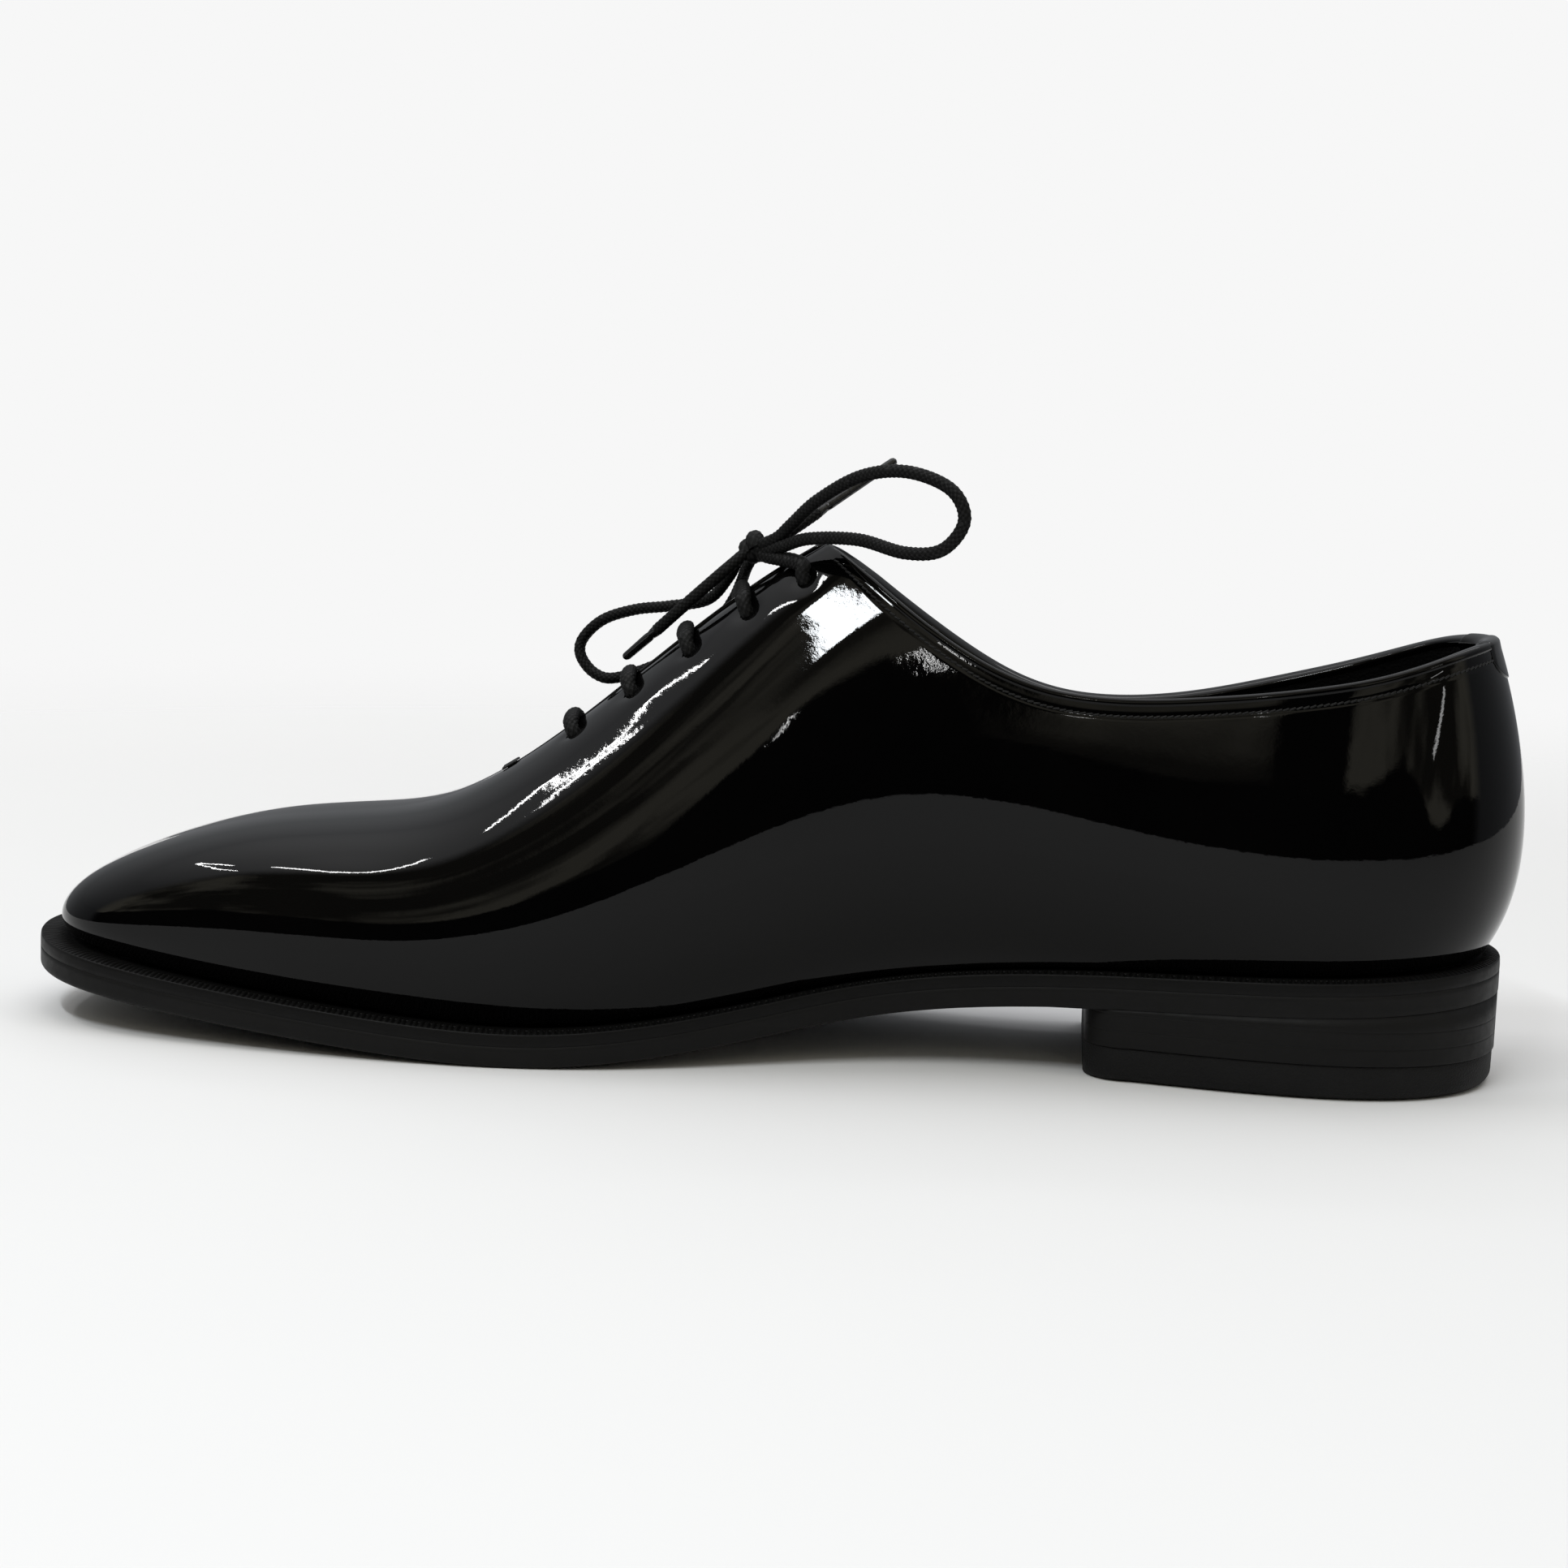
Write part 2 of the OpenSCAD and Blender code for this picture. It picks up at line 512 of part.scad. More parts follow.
// In through a hole, seen from the bar, then on behind the facing toward the heel (-1) or toe (1)
function into(k, side, way) = [
    at_hole(k, side, 4.6, above),
    at_hole(k, side, 1.3, above + 0.8),
    at_hole(k, side, 0, 0.9),
    at_hole(k, side, 0, lining_d[1] + 0.3),
    at_hole(k, side, 0, under - 0.55, way * 0.25),
    at_hole(k, side, 0, under, way * 0.9)
];
function back(v) = [for (i = [len(v) - 1 : -1 : 0]) v[i]];
function bar_mid(k) = [skin((hole_station(k, lateral) + hole_station(k, medial)) / 2, medial, 90, above - 0.25)];
function beside(k, side, ahead, off) = [at_hole(k, side, off, under, ahead)];

knot = [122, 2, 101];
first_end = concat(
    bar_mid(0), into(0, medial, -1),
    back(into(1, medial, 1)), bar_mid(1), into(1, lateral, -1), beside(2, lateral, 0, 0),
    back(into(3, lateral, 1)), bar_mid(3), into(3, medial, -1),
    back(into(4, medial, 1)), [knot + [-2.6, 4.6, -2], knot + [-0.8, 3.6, -1.8]]
);
second_end = concat(
    bar_mid(0), into(0, lateral, -1), beside(1, lateral, 2, -outside), beside(1, lateral, -2, -outside),
    back(into(2, lateral, 1)), bar_mid(2), into(2, medial, -1),
    [skin(hole_station(3, medial), medial, 89, under + 0.2)],
    back(into(4, lateral, 1)), [knot + [-2.8, -4, -2.2], knot + [-1, -3.6, -2]]
);
lace_path = concat(back(first_end), [for (i = [1 : len(second_end) - 1]) second_end[i]]);
module lace_run() color("#101010")
    cord(curve(lace_path, 2), lace_d);

// The turn of cord pulled tight round the middle of the bow
knot_r = 1.6;
module bow_knot() color("#101010")
    translate(knot)
        rotate([0, -37, 0])
            rotate([0, 90, 0])
                rotate_extrude($fn = 40)
                    translate([knot_r, 0]) circle(d = lace_d + 0.4, $fn = 24);

near_loop_path = [[117.6, 6.6, 103.4], [114.6, 9.5, 106.2], [108.8, 16, 111.7], [99.9, 24, 117], [90.6, 31, 118.4],
    [82, 35, 115.5], [79.2, 36, 109.7], [83.2, 35, 104], [90.5, 31, 102.9], [100.1, 23, 104.6],
    [110.4, 14, 103.9], [115.4, 9.4, 101.9]];
module near_loop() color("#101010")
    cord(curve(near_loop_path, 4), lace_d);

far_loop_path = [[126.2, -3, 98.4], [128.6, -7, 94], [133.3, -12, 88.9], [141.7, -16, 86.9], [149.4, -19, 85.6],
    [156.5, -21, 83], [160.9, -22, 78.7], [161.1, -21, 75.1], [157.7, -19.5, 71.6], [152.8, -18, 71.1],
    [143.3, -18, 74.8], [134, -16.5, 80.6], [128.4, -12, 88.4], [126, -8, 93.2]];
module far_loop() color("#101010")
    cord(curve(far_loop_path, 4), lace_d);

near_tail_path = [[126.2, 4.6, 98], [129.6, 5.2, 94.9], [136.4, 4, 88.6], [142.4, 1, 83]];
module near_tail() color("#101010")
    cord(curve(near_tail_path, 4), lace_d);
aglet_d = 2.1;
module near_aglet() color("#0c0c0c")
    rod([142.7, 0.9, 82.7], [149.2, -3, 76.8], aglet_d / 2);

far_tail_path = [[117.4, -1.6, 103.2], [114.4, -4, 105.2], [110.2, -6.8, 108.4]];
module far_tail() color("#101010")
    cord(curve(far_tail_path, 4), lace_d);
module far_aglet() color("#0c0c0c")
    rod([109.9, -7, 108.6], [97.2, -14, 117.9], aglet_d / 2);

// ---- Which node to draw -----------------------------------------------------------------
outsole();
welt();
welt_thread();
cork_filler();
shank();
insole();
sock_liner();
heel_wedge();
heel_lift_upper();
heel_lift_lower();
top_lift();
heel_nails();
upper();
toe_puff();
interlining();
heel_counter();
vamp_lining();
quarter_lining();
topline_binding();
topline_thread();
heel_tab();
throat_tack();
eyelets();
tongue();
tongue_lining();
lace_run();
bow_knot();
near_loop();
far_loop();
near_tail();
near_aglet();
far_tail();
far_aglet();
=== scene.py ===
import json
import math

import bmesh
import bpy
import numpy as np
from mathutils import Matrix, Vector

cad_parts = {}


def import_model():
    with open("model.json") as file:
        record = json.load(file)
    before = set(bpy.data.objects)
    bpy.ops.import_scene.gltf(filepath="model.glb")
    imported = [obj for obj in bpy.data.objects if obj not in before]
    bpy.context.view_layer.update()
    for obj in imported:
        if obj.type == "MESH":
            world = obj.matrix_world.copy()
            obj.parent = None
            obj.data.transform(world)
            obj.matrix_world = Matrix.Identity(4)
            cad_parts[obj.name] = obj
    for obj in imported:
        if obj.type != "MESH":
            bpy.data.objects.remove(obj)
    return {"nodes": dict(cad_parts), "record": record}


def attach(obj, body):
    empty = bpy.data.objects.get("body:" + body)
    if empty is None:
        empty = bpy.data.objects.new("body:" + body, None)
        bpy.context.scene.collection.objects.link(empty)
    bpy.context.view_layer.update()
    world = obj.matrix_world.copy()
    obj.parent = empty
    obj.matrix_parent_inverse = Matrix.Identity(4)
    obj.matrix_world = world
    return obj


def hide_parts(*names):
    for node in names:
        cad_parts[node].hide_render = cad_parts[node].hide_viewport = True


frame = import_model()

scene = bpy.context.scene
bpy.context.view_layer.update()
MM = 0.001
MEDIAL, LATERAL = 1, -1

# ---- The last: the same smooth tables that shape the CAD solids


def table(values, ends=(1, 1), start=0, step=None):
    """A cubic B-spline through evenly spaced values, mirrored past its ends. Without a step the
    values are spread over the stations, from 0 at the back of the heel to 180 at the toe."""
    v = np.array(values, float)
    n = len(v)
    spacing = step or 180 / (n - 1)

    def entry(k):
        if k < 0:
            return ends[0] * v[-k]
        return ends[1] * v[2 * (n - 1) - k] if k > n - 1 else v[k]

    c = np.array([entry(k) - (entry(k + 1) - 2 * entry(k) + entry(k - 1)) / 6
                  for k in range(-4, n + 4)])

    def at(x):
        s = (x - start) / spacing
        k = np.floor(s).astype(int)
        f = s - k
        g = 1 - f
        i = np.clip(k + 4, 1, len(c) - 3)
        return (g**3 * c[i - 1] + (3 * f**3 - 6 * f**2 + 4) * c[i]
                + (3 * g**3 - 6 * g**2 + 4) * c[i + 1] + f**3 * c[i + 2]) / 6

    return at


FEATHER_LEN = 289.0
HALF_LEN = FEATHER_LEN / 2
MID_X = HALF_LEN - 27.5
OUTSOLE_T, WELT_T, TOP_LIFT_T = 4.2, 2.55, 7.0
GAP = 0.15
WELT_Z0 = OUTSOLE_T + GAP
SEAT_RISE = OUTSOLE_T + WELT_T + 2 * GAP
LEATHER_T, LINING_D0, LINING_D1 = 1.3, 2.4, 3.3
THROAT, SLIT_FULL, OPENING_END = 111.5, 88, 89
FACING_GAP = 2.0
BREAST_X = 51.5

# All in mm. The underside of the sole along x, the last's half widths and the ridge's height above
# the feather line, how far and how high each side bulges, the hollow over the waist, the squareness
# of the sections, the ridge's lean, the two toplines along x, and the sole's reach past the feather
sole_z = table([19, 17.9, 16.6, 15.7, 14.8, 13.7, 12, 9.1, 4.9,
                1.6, 0, 0.6, 2.2, 4.1, 6.2, 8.7, 11.6, 14.8], start=-40, step=20)
inner_half = table([0, 10, 18.6, 24.8, 28, 28, 25.6, 22, 19.8, 20.8, 27,
                    34, 37.6, 37.6, 35.8, 33, 29.5, 25.4, 20, 11.6, 0], (-1, -1))
outer_half = table([0, 10, 18.8, 25, 28.3, 28.8, 28, 27.6, 29.2, 34, 40.5,
                    46.5, 49, 47.3, 42.7, 37.3, 31.8, 26, 19.6, 11, 0], (-1, -1))
ridge_rise = table([104.6, 104.7, 105.1, 105.7, 106.4, 106.6, 106.3, 104.8, 101.3, 93, 84.8,
                    71.4, 54.3, 39.9, 34.5, 30.8, 25.8, 20.2, 14.6, 8.5, 0], (1, -1))
inner_bulge = table([7.4, 6.8, 6.6, 8.5, 11.7, 11.3, 7.3, 4.3, 2.9, 3.4, 4])
inner_bulge_z = table([29.6, 26.7, 26.4, 28.8, 39.7, 46.9, 31.1, 17.6, 12.1, 7.2, 5.4])
outer_bulge = table([7.4, 6.8, 5.5, 5.5, 6.5, 6.5, 5.5, 4.2, 3, 3.4, 4])
outer_bulge_z = table([29.6, 26.7, 23, 22, 24, 26, 22, 16.5, 12, 7.2, 5.4])
hollow = table([1, 1, 1.2, 1.6, 2, 2, 1.6, 1.2, 1, 1, 1])
squareness = table([2, 2, 2, 2, 2, 2, 2.1, 2.89, 3.12, 2.98, 2.63])
ridge_lean = table([0, 0, 0, 1, 3, 5, 5, 3, 1, 0, 0])
inner_topline = table([89, 88.6, 87.2, 84.2, 81.2, 79.2, 77.6, 76.4,
                       75.5, 75.4, 76.4, 79.2, 83.8, 89.8, 96.8, 103.5], start=-40, step=10)
outer_topline = table([89, 88.4, 86.6, 83.2, 79.8, 77, 74.4, 72.2,
                       70.8, 70.4, 71.4, 74.6, 80.2, 87.4, 95.6, 103.5], start=-40, step=10)
edge_at = table([3.8, 4.2, 4.2, 3.4, 2.8, 3.6, 5.2, 5.4, 6, 7, 8])
BACK_LEAN, BACK_RISE = 5.5, 62.0
FINE_SLOPE = 0.15


def sind(a):
    return np.sin(np.radians(a))


def arcsind(v):
    return np.degrees(np.arcsin(v))


def station_x(phi):
    return MID_X - HALF_LEN * np.cos(np.radians(phi))


def station_at(x):
    return np.degrees(np.arccos((MID_X - x) / HALF_LEN))


def feather_z(x):
    return sole_z(x) + SEAT_RISE


def pick(side, inner, outer):
    return np.where(side > 0, inner, outer)


def half_width(phi, side):
    return pick(side, inner_half(phi), outer_half(phi))


def filled(like, value):
    return np.full(like.shape, float(value))


def singles(*values):
    return [np.array([float(v)]) for v in values]


def unit(v):
    return v / np.maximum(np.linalg.norm(v, axis=-1, keepdims=True), 1e-12)


def plan(phi, side):
    return np.stack([station_x(phi), side * half_width(phi, side)], -1)


def way_out(phi, side):
    t = plan(phi + 0.5, side) - plan(phi - 0.5, side)
    return unit(side[..., None] * np.stack([-t[..., 1], t[..., 0]], -1))


def plan_out(phi, side, far):
    return plan(phi, side) + far[..., None] * way_out(phi, side)


def across(phi, theta):
    """How much of the section's half width is left at an angle theta round it."""
    n = squareness(phi)
    return np.where(theta > 90, -1, 1) * np.maximum(0, 1 - np.abs(sind(theta)) ** n) ** (1 / n)


def smooth_face(phi, side, theta):
    """The outer face of the upper. theta is 0 at the feather line and 90 on the ridge."""
    rise = ridge_rise(phi) * sind(theta)
    out = way_out(phi, side)
    up = np.maximum(rise, 0)
    share = up / pick(side, inner_bulge_z(phi), outer_bulge_z(phi))
    swell = (share * np.exp(1 - share)) ** pick(side, hollow(phi), 1.0)
    bulge = pick(side, inner_bulge(phi), outer_bulge(phi)) * swell
    lean = np.where(out[..., 0] < 0, BACK_LEAN * out[..., 0] ** 2 * (up / BACK_RISE) ** 3, 0)
    x = station_x(phi) + out[..., 0] * bulge + lean
    y = (side * across(phi, theta) * (half_width(phi, side) + bulge * np.abs(out[..., 1]))
         + ridge_lean(phi) * sind(theta) ** 2)
    return np.stack([x, y, feather_z(station_x(phi)) + rise], -1)


def normal_of(phi, side, theta, surface=smooth_face, e=0.5):
    """The way out of a surface, from its slopes over e degrees."""
    p = np.clip(phi, 0, 180 - e)
    a = surface(p + e, side, theta) - surface(p - e, side, theta)
    b = surface(p, side, theta + e) - surface(p, side, theta - e)
    return unit(-side[..., None] * np.cross(a, b))


def topline_angle(phi, side):
    x = station_x(phi)
    z = pick(side, inner_topline(x), outer_topline(x))
    return arcsind(np.clip((z - feather_z(x)) / ridge_rise(phi), 0, 1))


def slit_angle(phi, side):
    """The angle at which the facing ends, half the slit's width from the ridge."""
    half_gap = np.maximum(0, FACING_GAP * np.minimum(1, (THROAT - phi) / (THROAT - SLIT_FULL)))
    n = squareness(phi)
    return arcsind((1 - (half_gap / (half_width(phi, side) + 6)) ** n) ** (1 / n))


def top_angle(phi, side):
    """The angle of the upper's free edge: the topline, then the slit, then the closed ridge."""
    slit = slit_angle(phi, side)
    low = np.minimum(slit, topline_angle(phi, side))
    return np.where(phi >= THROAT, 90.0, np.where(phi > OPENING_END, slit, low))


# Lace holes: five to a side, from the throat up
HOLES, HOLE_R = 5, 1.5


def hole_station(k, side):
    return 106.2 - 4.5 * k + (0.5 if side < 0 else 0)


def hole_angle(k):
    return 13 + 1.25 * k


def below(phi, side, theta, depth):
    """Points at a depth under the smooth face of the upper."""
    n = normal_of(phi, side, theta)
    return smooth_face(phi, side, theta) - np.asarray(depth)[..., None] * n


def skin(phi, side, theta, depth):
    """One such point."""
    return below(*singles(phi, side, theta), depth)[0]


hole_places = [skin(hole_station(k, s), s, 90 - hole_angle(k), 0)
               for k in range(HOLES) for s in (MEDIAL, LATERAL)]


def wobble(p, size, seed):
    """Smooth repeatable unevenness, from a few crossed waves."""
    rng = np.random.default_rng(seed)
    total = np.zeros(p.shape[:-1])
    for _ in range(9):
        way = unit(rng.normal(size=3))
        length = size * rng.uniform(0.7, 1.6)
        total += np.sin(p @ way * (2 * math.pi / length) + rng.uniform(0, 2 * math.pi))
    return total / 9


DIMPLE, DIMPLE_R = 0.55, 2.6
BACK_SEAM, BACK_SEAM_R = 0.28, 0.45
STITCH_DROP, STITCH_GROOVE, STITCH_GROOVE_R = 2.7, 0.16, 0.38
FEATHER_ROUND = 1.3


def detailed_face(phi, side, theta):
    """The smooth face with lace-hole dimples, back seam, rounded foot, stitch groove and faint waves."""
    p = smooth_face(phi, side, theta)
    drop = np.zeros(phi.shape)
    for h in hole_places:
        drop += DIMPLE * np.exp(-((np.linalg.norm(p - h, axis=-1) / DIMPLE_R) ** 2))
    back = (p[..., 0] < 0) & (phi < 30)
    drop += np.where(back, BACK_SEAM * np.exp(-((p[..., 1] / BACK_SEAM_R) ** 2)), 0)
    rise = np.clip(p[..., 2] - feather_z(station_x(phi)), 0, FEATHER_ROUND)
    drop += FEATHER_ROUND - np.sqrt(FEATHER_ROUND**2 - (FEATHER_ROUND - rise) ** 2)
    from_top = np.linalg.norm(p - smooth_face(phi, side, top_angle(phi, side)), axis=-1)
    seam = np.clip((86 - phi) / 3, 0, 1) * np.clip(phi / 8, 0, 1)
    drop += seam * STITCH_GROOVE * np.exp(-(((from_top - STITCH_DROP) / STITCH_GROOVE_R) ** 2))
    raised = 0.014 * wobble(p, 19, 3) + 0.003 * wobble(p, 4.2, 8)
    return p + (raised - drop)[..., None] * normal_of(phi, side, theta)


# ---- Mesh building


class Pile:
    """Gathers grids into one mesh."""

    def __init__(self):
        self.verts, self.faces, self.count = [], [], 0

    def grid(self, p, closed_v=False, flip=False, keep=None):
        nu, nv = p.shape[:2]
        i, j = np.indices((nu - 1, nv if closed_v else nv - 1)).reshape(2, -1)
        here, beside = i * nv + j, i * nv + (j + 1) % nv
        quads = np.stack([here, here + nv, beside + nv, beside], -1) + self.count
        if keep is not None:
            quads = quads[keep.ravel()]
        self.verts.append(p.reshape(-1, 3))
        self.faces.extend((quads[:, ::-1] if flip else quads).tolist())
        self.count += nu * nv

    def fan(self, ring, centre, flip=False):
        n = len(ring)
        self.verts.append(np.vstack([ring, [centre]]))
        for k in range(n):
            tri = [self.count + k, self.count + (k + 1) % n, self.count + n]
            self.faces.append(tri[::-1] if flip else tri)
        self.count += n + 1

    def tube(self, rings):
        """A tube closed at both ends."""
        self.grid(rings, closed_v=True)
        self.fan(rings[0], rings[0].mean(0), flip=True)
        self.fan(rings[-1], rings[-1].mean(0))

    def mesh(self, name, material, weld):
        me = bpy.data.meshes.new(name)
        me.from_pydata((np.vstack(self.verts) * MM).tolist(), [], self.faces)
        ob = bpy.data.objects.new(name, me)
        scene.collection.objects.link(ob)
        if weld:
            bm = bmesh.new()
            bm.from_mesh(me)
            bmesh.ops.remove_doubles(bm, verts=bm.verts, dist=weld * MM)
            bmesh.ops.dissolve_degenerate(bm, dist=1e-7, edges=bm.edges)
            bmesh.ops.recalc_face_normals(bm, faces=bm.faces)
            bm.to_mesh(me)
            bm.free()
        me.polygons.foreach_set("use_smooth", [True] * len(me.polygons))
        me.materials.append(material)
        me.update()
        return ob

    def piece(self, name, slot, node, body="shoe", weld=0.004):
        """The mesh as a piece that takes the place of a CAD node and moves with a body."""
        ob = self.mesh(name, MAT[slot], weld)
        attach(ob, body)
        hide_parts(node)


def stations(*pieces):
    """Station angles from (start, end, step) pieces, without repeats."""
    out = [np.linspace(a, b, max(2, int(round((b - a) / s)) + 1)) for a, b, s in pieces]
    return np.unique(np.round(np.concatenate(out), 6))


def both(rows):
    """A row of stations paired with each side."""
    return [(rows, filled(rows, s), s) for s in (MEDIAL, LATERAL)]


def flatten_ends(grid, rows):
    """Brings a grid's first and last rows onto the middle plane at the back and the toe."""
    for end, at in ((0, 0), (-1, 180)):
        if rows[end] == at:
            grid[end, :, 1] = 0


def sole_grid(pile, rows, profile, s):
    """Adds one side of a sole layer. Its profile pairs plan points with heights above the sole."""
    g = np.stack([np.stack([q[:, 0], q[:, 1], sole_z(q[:, 0]) + z], -1) for q, z in profile], 1)
    flatten_ends(g, rows)
    pile.grid(g, flip=s > 0)


def edge_way(mid, n, s):
    """The way off the leather, in its surface, along a free edge."""
    return unit(s * np.cross(np.gradient(mid, axis=0), n))


def rolled_edge(outer, inner, n, s):
    """Half a round from the outer to the inner edge of a layer."""
    mid = (outer + inner) / 2
    half = np.linalg.norm(outer - inner, axis=-1, keepdims=True) / 2
    away = edge_way(mid, n, s)
    arc = [mid + half * (math.cos(a) * n + math.sin(a) * away) for a in np.linspace(0, math.pi, 8)]
    arc[0], arc[-1] = outer, inner
    return np.stack(arc, 1)


def layer(rows, depth0, depth1, face=smooth_face, cols=70, low=None, high=top_angle,
          ridge_from=THROAT, cut=None):
    """A shell of the upper between two depths, rounded along its free top. From the station
    ridge_from on its halves meet on the ridge."""
    pile = Pile()
    for phi, side, s in both(rows):
        lo = np.zeros(phi.shape) if low is None else low(phi)
        th = lo[:, None] + (high(phi, side) - lo)[:, None] * np.linspace(0, 1, cols)
        ph = np.repeat(phi[:, None], cols, 1)
        sd = filled(ph, s)
        p = face(ph, sd, th)
        n = normal_of(ph, sd, th, face, FINE_SLOPE)
        outer, inner = p - depth0 * n, p - depth1 * n
        flatten_ends(outer, rows)
        flatten_ends(inner, rows)
        top = rows >= ridge_from
        if top.any():
            ridge = [phi[top], filled(phi[top], MEDIAL), filled(phi[top], 90)]
            for g, d in ((outer, depth0), (inner, depth1)):
                g[top, -1] = face(*ridge) - d * normal_of(*ridge, face, FINE_SLOPE)
        keep = None if cut is None else ~cut((p[:-1, :-1] + p[1:, 1:]) / 2)
        pile.grid(outer, flip=s < 0, keep=keep)
        pile.grid(inner, flip=s > 0, keep=keep)
        rims = [[outer[:, 0], inner[:, 0]]]
        if rows[-1] < 180:
            rims.append([inner[-1], outer[-1]])
        if rows[0] > 0:
            rims.append([outer[0], inner[0]])
        for rim in rims:
            pile.grid(np.stack(rim, 1), flip=s > 0)
        free = rows < ridge_from + 1e-6
        if free.sum() >= 2:
            pile.grid(rolled_edge(outer[free, -1], inner[free, -1], n[free, -1], s), flip=s < 0)
    return pile


def lengths(line):
    """The length along a line at each of its points."""
    return np.concatenate([[0], np.cumsum(np.linalg.norm(np.diff(line, axis=0), axis=1))])


def at_length(s, d, values):
    """The values at lengths s, when they are known at lengths d."""
    return np.stack([np.interp(s, d, values[:, k]) for k in range(3)], -1)


STITCH_RINGS, STITCH_SIDES = 5, 8


def turns(count):
    """Angles once round, in radians."""
    return np.linspace(0, 2 * math.pi, count, endpoint=False)


def capsule(pile, a, b, r, flat, up=(0, 0, 1)):
    """A short stitch: a rounded rod from a to b, pressed flat by the factor flat."""
    up = np.array(up, float)
    t = unit(b - a)
    n = unit(up - (up @ t) * t)
    w = np.cross(t, n)
    q = np.linspace(0, math.pi / 2, STITCH_RINGS)
    ends = [(a, -math.cos(x), math.sin(x)) for x in q] + [(b, math.cos(x), math.sin(x)) for x in q[::-1]]
    ang = turns(STITCH_SIDES)[:, None]
    ring = np.cos(ang) * w + np.sin(ang) * n * flat
    rows = [c + t * along * r + ring * max(wide, 0.05) * r for c, along, wide in ends]
    pile.grid(np.array(rows), closed_v=True)


def stitch_row(pile, line, n, pitch, start, end, r, flat, slant=0.0, sink=0.0):
    """Stitches along a line, each from start to end in its pitch. n points out of the leather."""
    d = lengths(line)
    for k in range(int(d[-1] / pitch)):
        a, b = (at_length(k * pitch + q, d, line) for q in (start, end))
        up = at_length(k * pitch + (start + end) / 2, d, n)
        tilt = unit(np.cross(unit(b - a), up)) * slant
        capsule(pile, a - up * sink + tilt, b - up * sink - tilt, r, flat, up)


def curve(points, per):
    """The same way-point curve that the CAD cords follow."""
    p = np.array(points, float)
    out = []
    for i in range(len(p) - 1):
        a, b, c, d = p[max(i - 1, 0)], p[i], p[i + 1], p[min(i + 2, len(p) - 1)]
        for f in np.arange(per) / per:
            out.append(0.5 * (2 * b + (c - a) * f + (2 * a - 5 * b + 4 * c - d) * f * f
                              + (3 * b - a - 3 * c + d) * f**3))
    out.append(p[-1])
    return np.array(out)


LACE_D = 2.6
BRAID_PITCH, BRAID_ENDS, BRAID_RELIEF = 1.15, 7, 0.085
CORD_STEP, CORD_SIDES, SOFTENED = 0.21, 42, 6


def even(path):
    """Points spaced by the cord's step along a path, with their lengths."""
    d = lengths(path)
    s = np.linspace(0, d[-1], max(4, int(d[-1] / CORD_STEP) + 1))
    return at_length(s, d, path), s


def carried_ways(path, start):
    """Two ways across a path at each point, carried along it without twist."""
    t = unit(np.gradient(path, axis=0))
    u = [unit(start - (start @ t[0]) * t[0])]
    for k in range(1, len(path)):
        u.append(unit(u[-1] - (u[-1] @ t[k]) * t[k]))
    return np.array(u), np.cross(t, u)


def cord_surface(path, d, way, stretch, round_ends=True):
    """A swept tube with the little diamonds of a tubular braid, stretched along one way."""
    path, s = even(path)
    for _ in range(SOFTENED):
        path[1:-1] = (path[:-2] + 2 * path[1:-1] + path[2:]) / 4
    way = unit(np.array(way, float))
    u, m = carried_ways(path, way)
    a = turns(CORD_SIDES)
    v = s[:, None] / BRAID_PITCH
    w = a[None, :] / (2 * math.pi) * BRAID_ENDS
    lattice = np.abs(np.sin(math.pi * (w + v)) * np.sin(math.pi * (w - v))) ** 0.7
    r = d / 2 - BRAID_RELIEF + 2 * BRAID_RELIEF * lattice
    if round_ends:
        n = np.arange(len(s))
        cap = np.clip(np.minimum(n, n[::-1]) * CORD_STEP / (d * 0.45), 0, 1)
        r = r * np.sqrt(np.clip(1 - (1 - cap) ** 2, 0.02, 1))[:, None]
    off = r[..., None] * (u[:, None] * np.cos(a)[None, :, None] + m[:, None] * np.sin(a)[None, :, None])
    more = (np.asarray(stretch) - 1).reshape(-1, 1, 1)
    return path[:, None] + off + (off @ way)[..., None] * more * way


# ---- Materials

MAT = {}


def feed(nt, socket, v):
    """Links an output to a socket, or gives the socket a plain value."""
    if isinstance(v, bpy.types.NodeSocket):
        nt.links.new(v, socket)
    else:
        socket.default_value = (*v, 1) if socket.type == "RGBA" else v


def shader(nt, kind, values=None, **options):
    """A new shader node with its options, and the values or links of its sockets."""
    n = nt.nodes.new("ShaderNode" + kind)
    for key, value in options.items():
        setattr(n, key, value)
    for key, value in (values or {}).items():
        feed(nt, n.inputs[key], value)
    return n


def material(name, color, rough, spec=0.5, **more):
    """Keeps a new material under its name and gives its node tree."""
    MAT[name] = bpy.data.materials.new(name)
    MAT[name].use_nodes = True
    nt = MAT[name].node_tree
    values = {"Base Color": color, "Roughness": rough, "Specular IOR Level": spec, **more}
    for key, value in values.items():
        feed(nt, nt.nodes["Principled BSDF"].inputs[key], value)
    return nt


def coords(nt):
    return shader(nt, "TexCoord").outputs["Object"]


def noise_tex(nt, scale, detail=4, rough=0.55, stretch=None):
    vec = coords(nt)
    if stretch:
        vec = shader(nt, "Mapping", {"Vector": vec, "Scale": stretch}).outputs[0]
    values = {"Vector": vec, "Scale": scale, "Detail": detail, "Roughness": rough}
    return shader(nt, "TexNoise", values).outputs["Fac"]


def ramp(nt, fac, stops):
    r = shader(nt, "ValToRGB", {"Fac": fac})
    for element, (pos, col) in zip(r.color_ramp.elements, (stops[0], stops[-1])):
        element.position, element.color = pos, (*col, 1)
    for pos, col in stops[1:-1]:
        r.color_ramp.elements.new(pos).color = (*col, 1)
    return r.outputs["Color"]


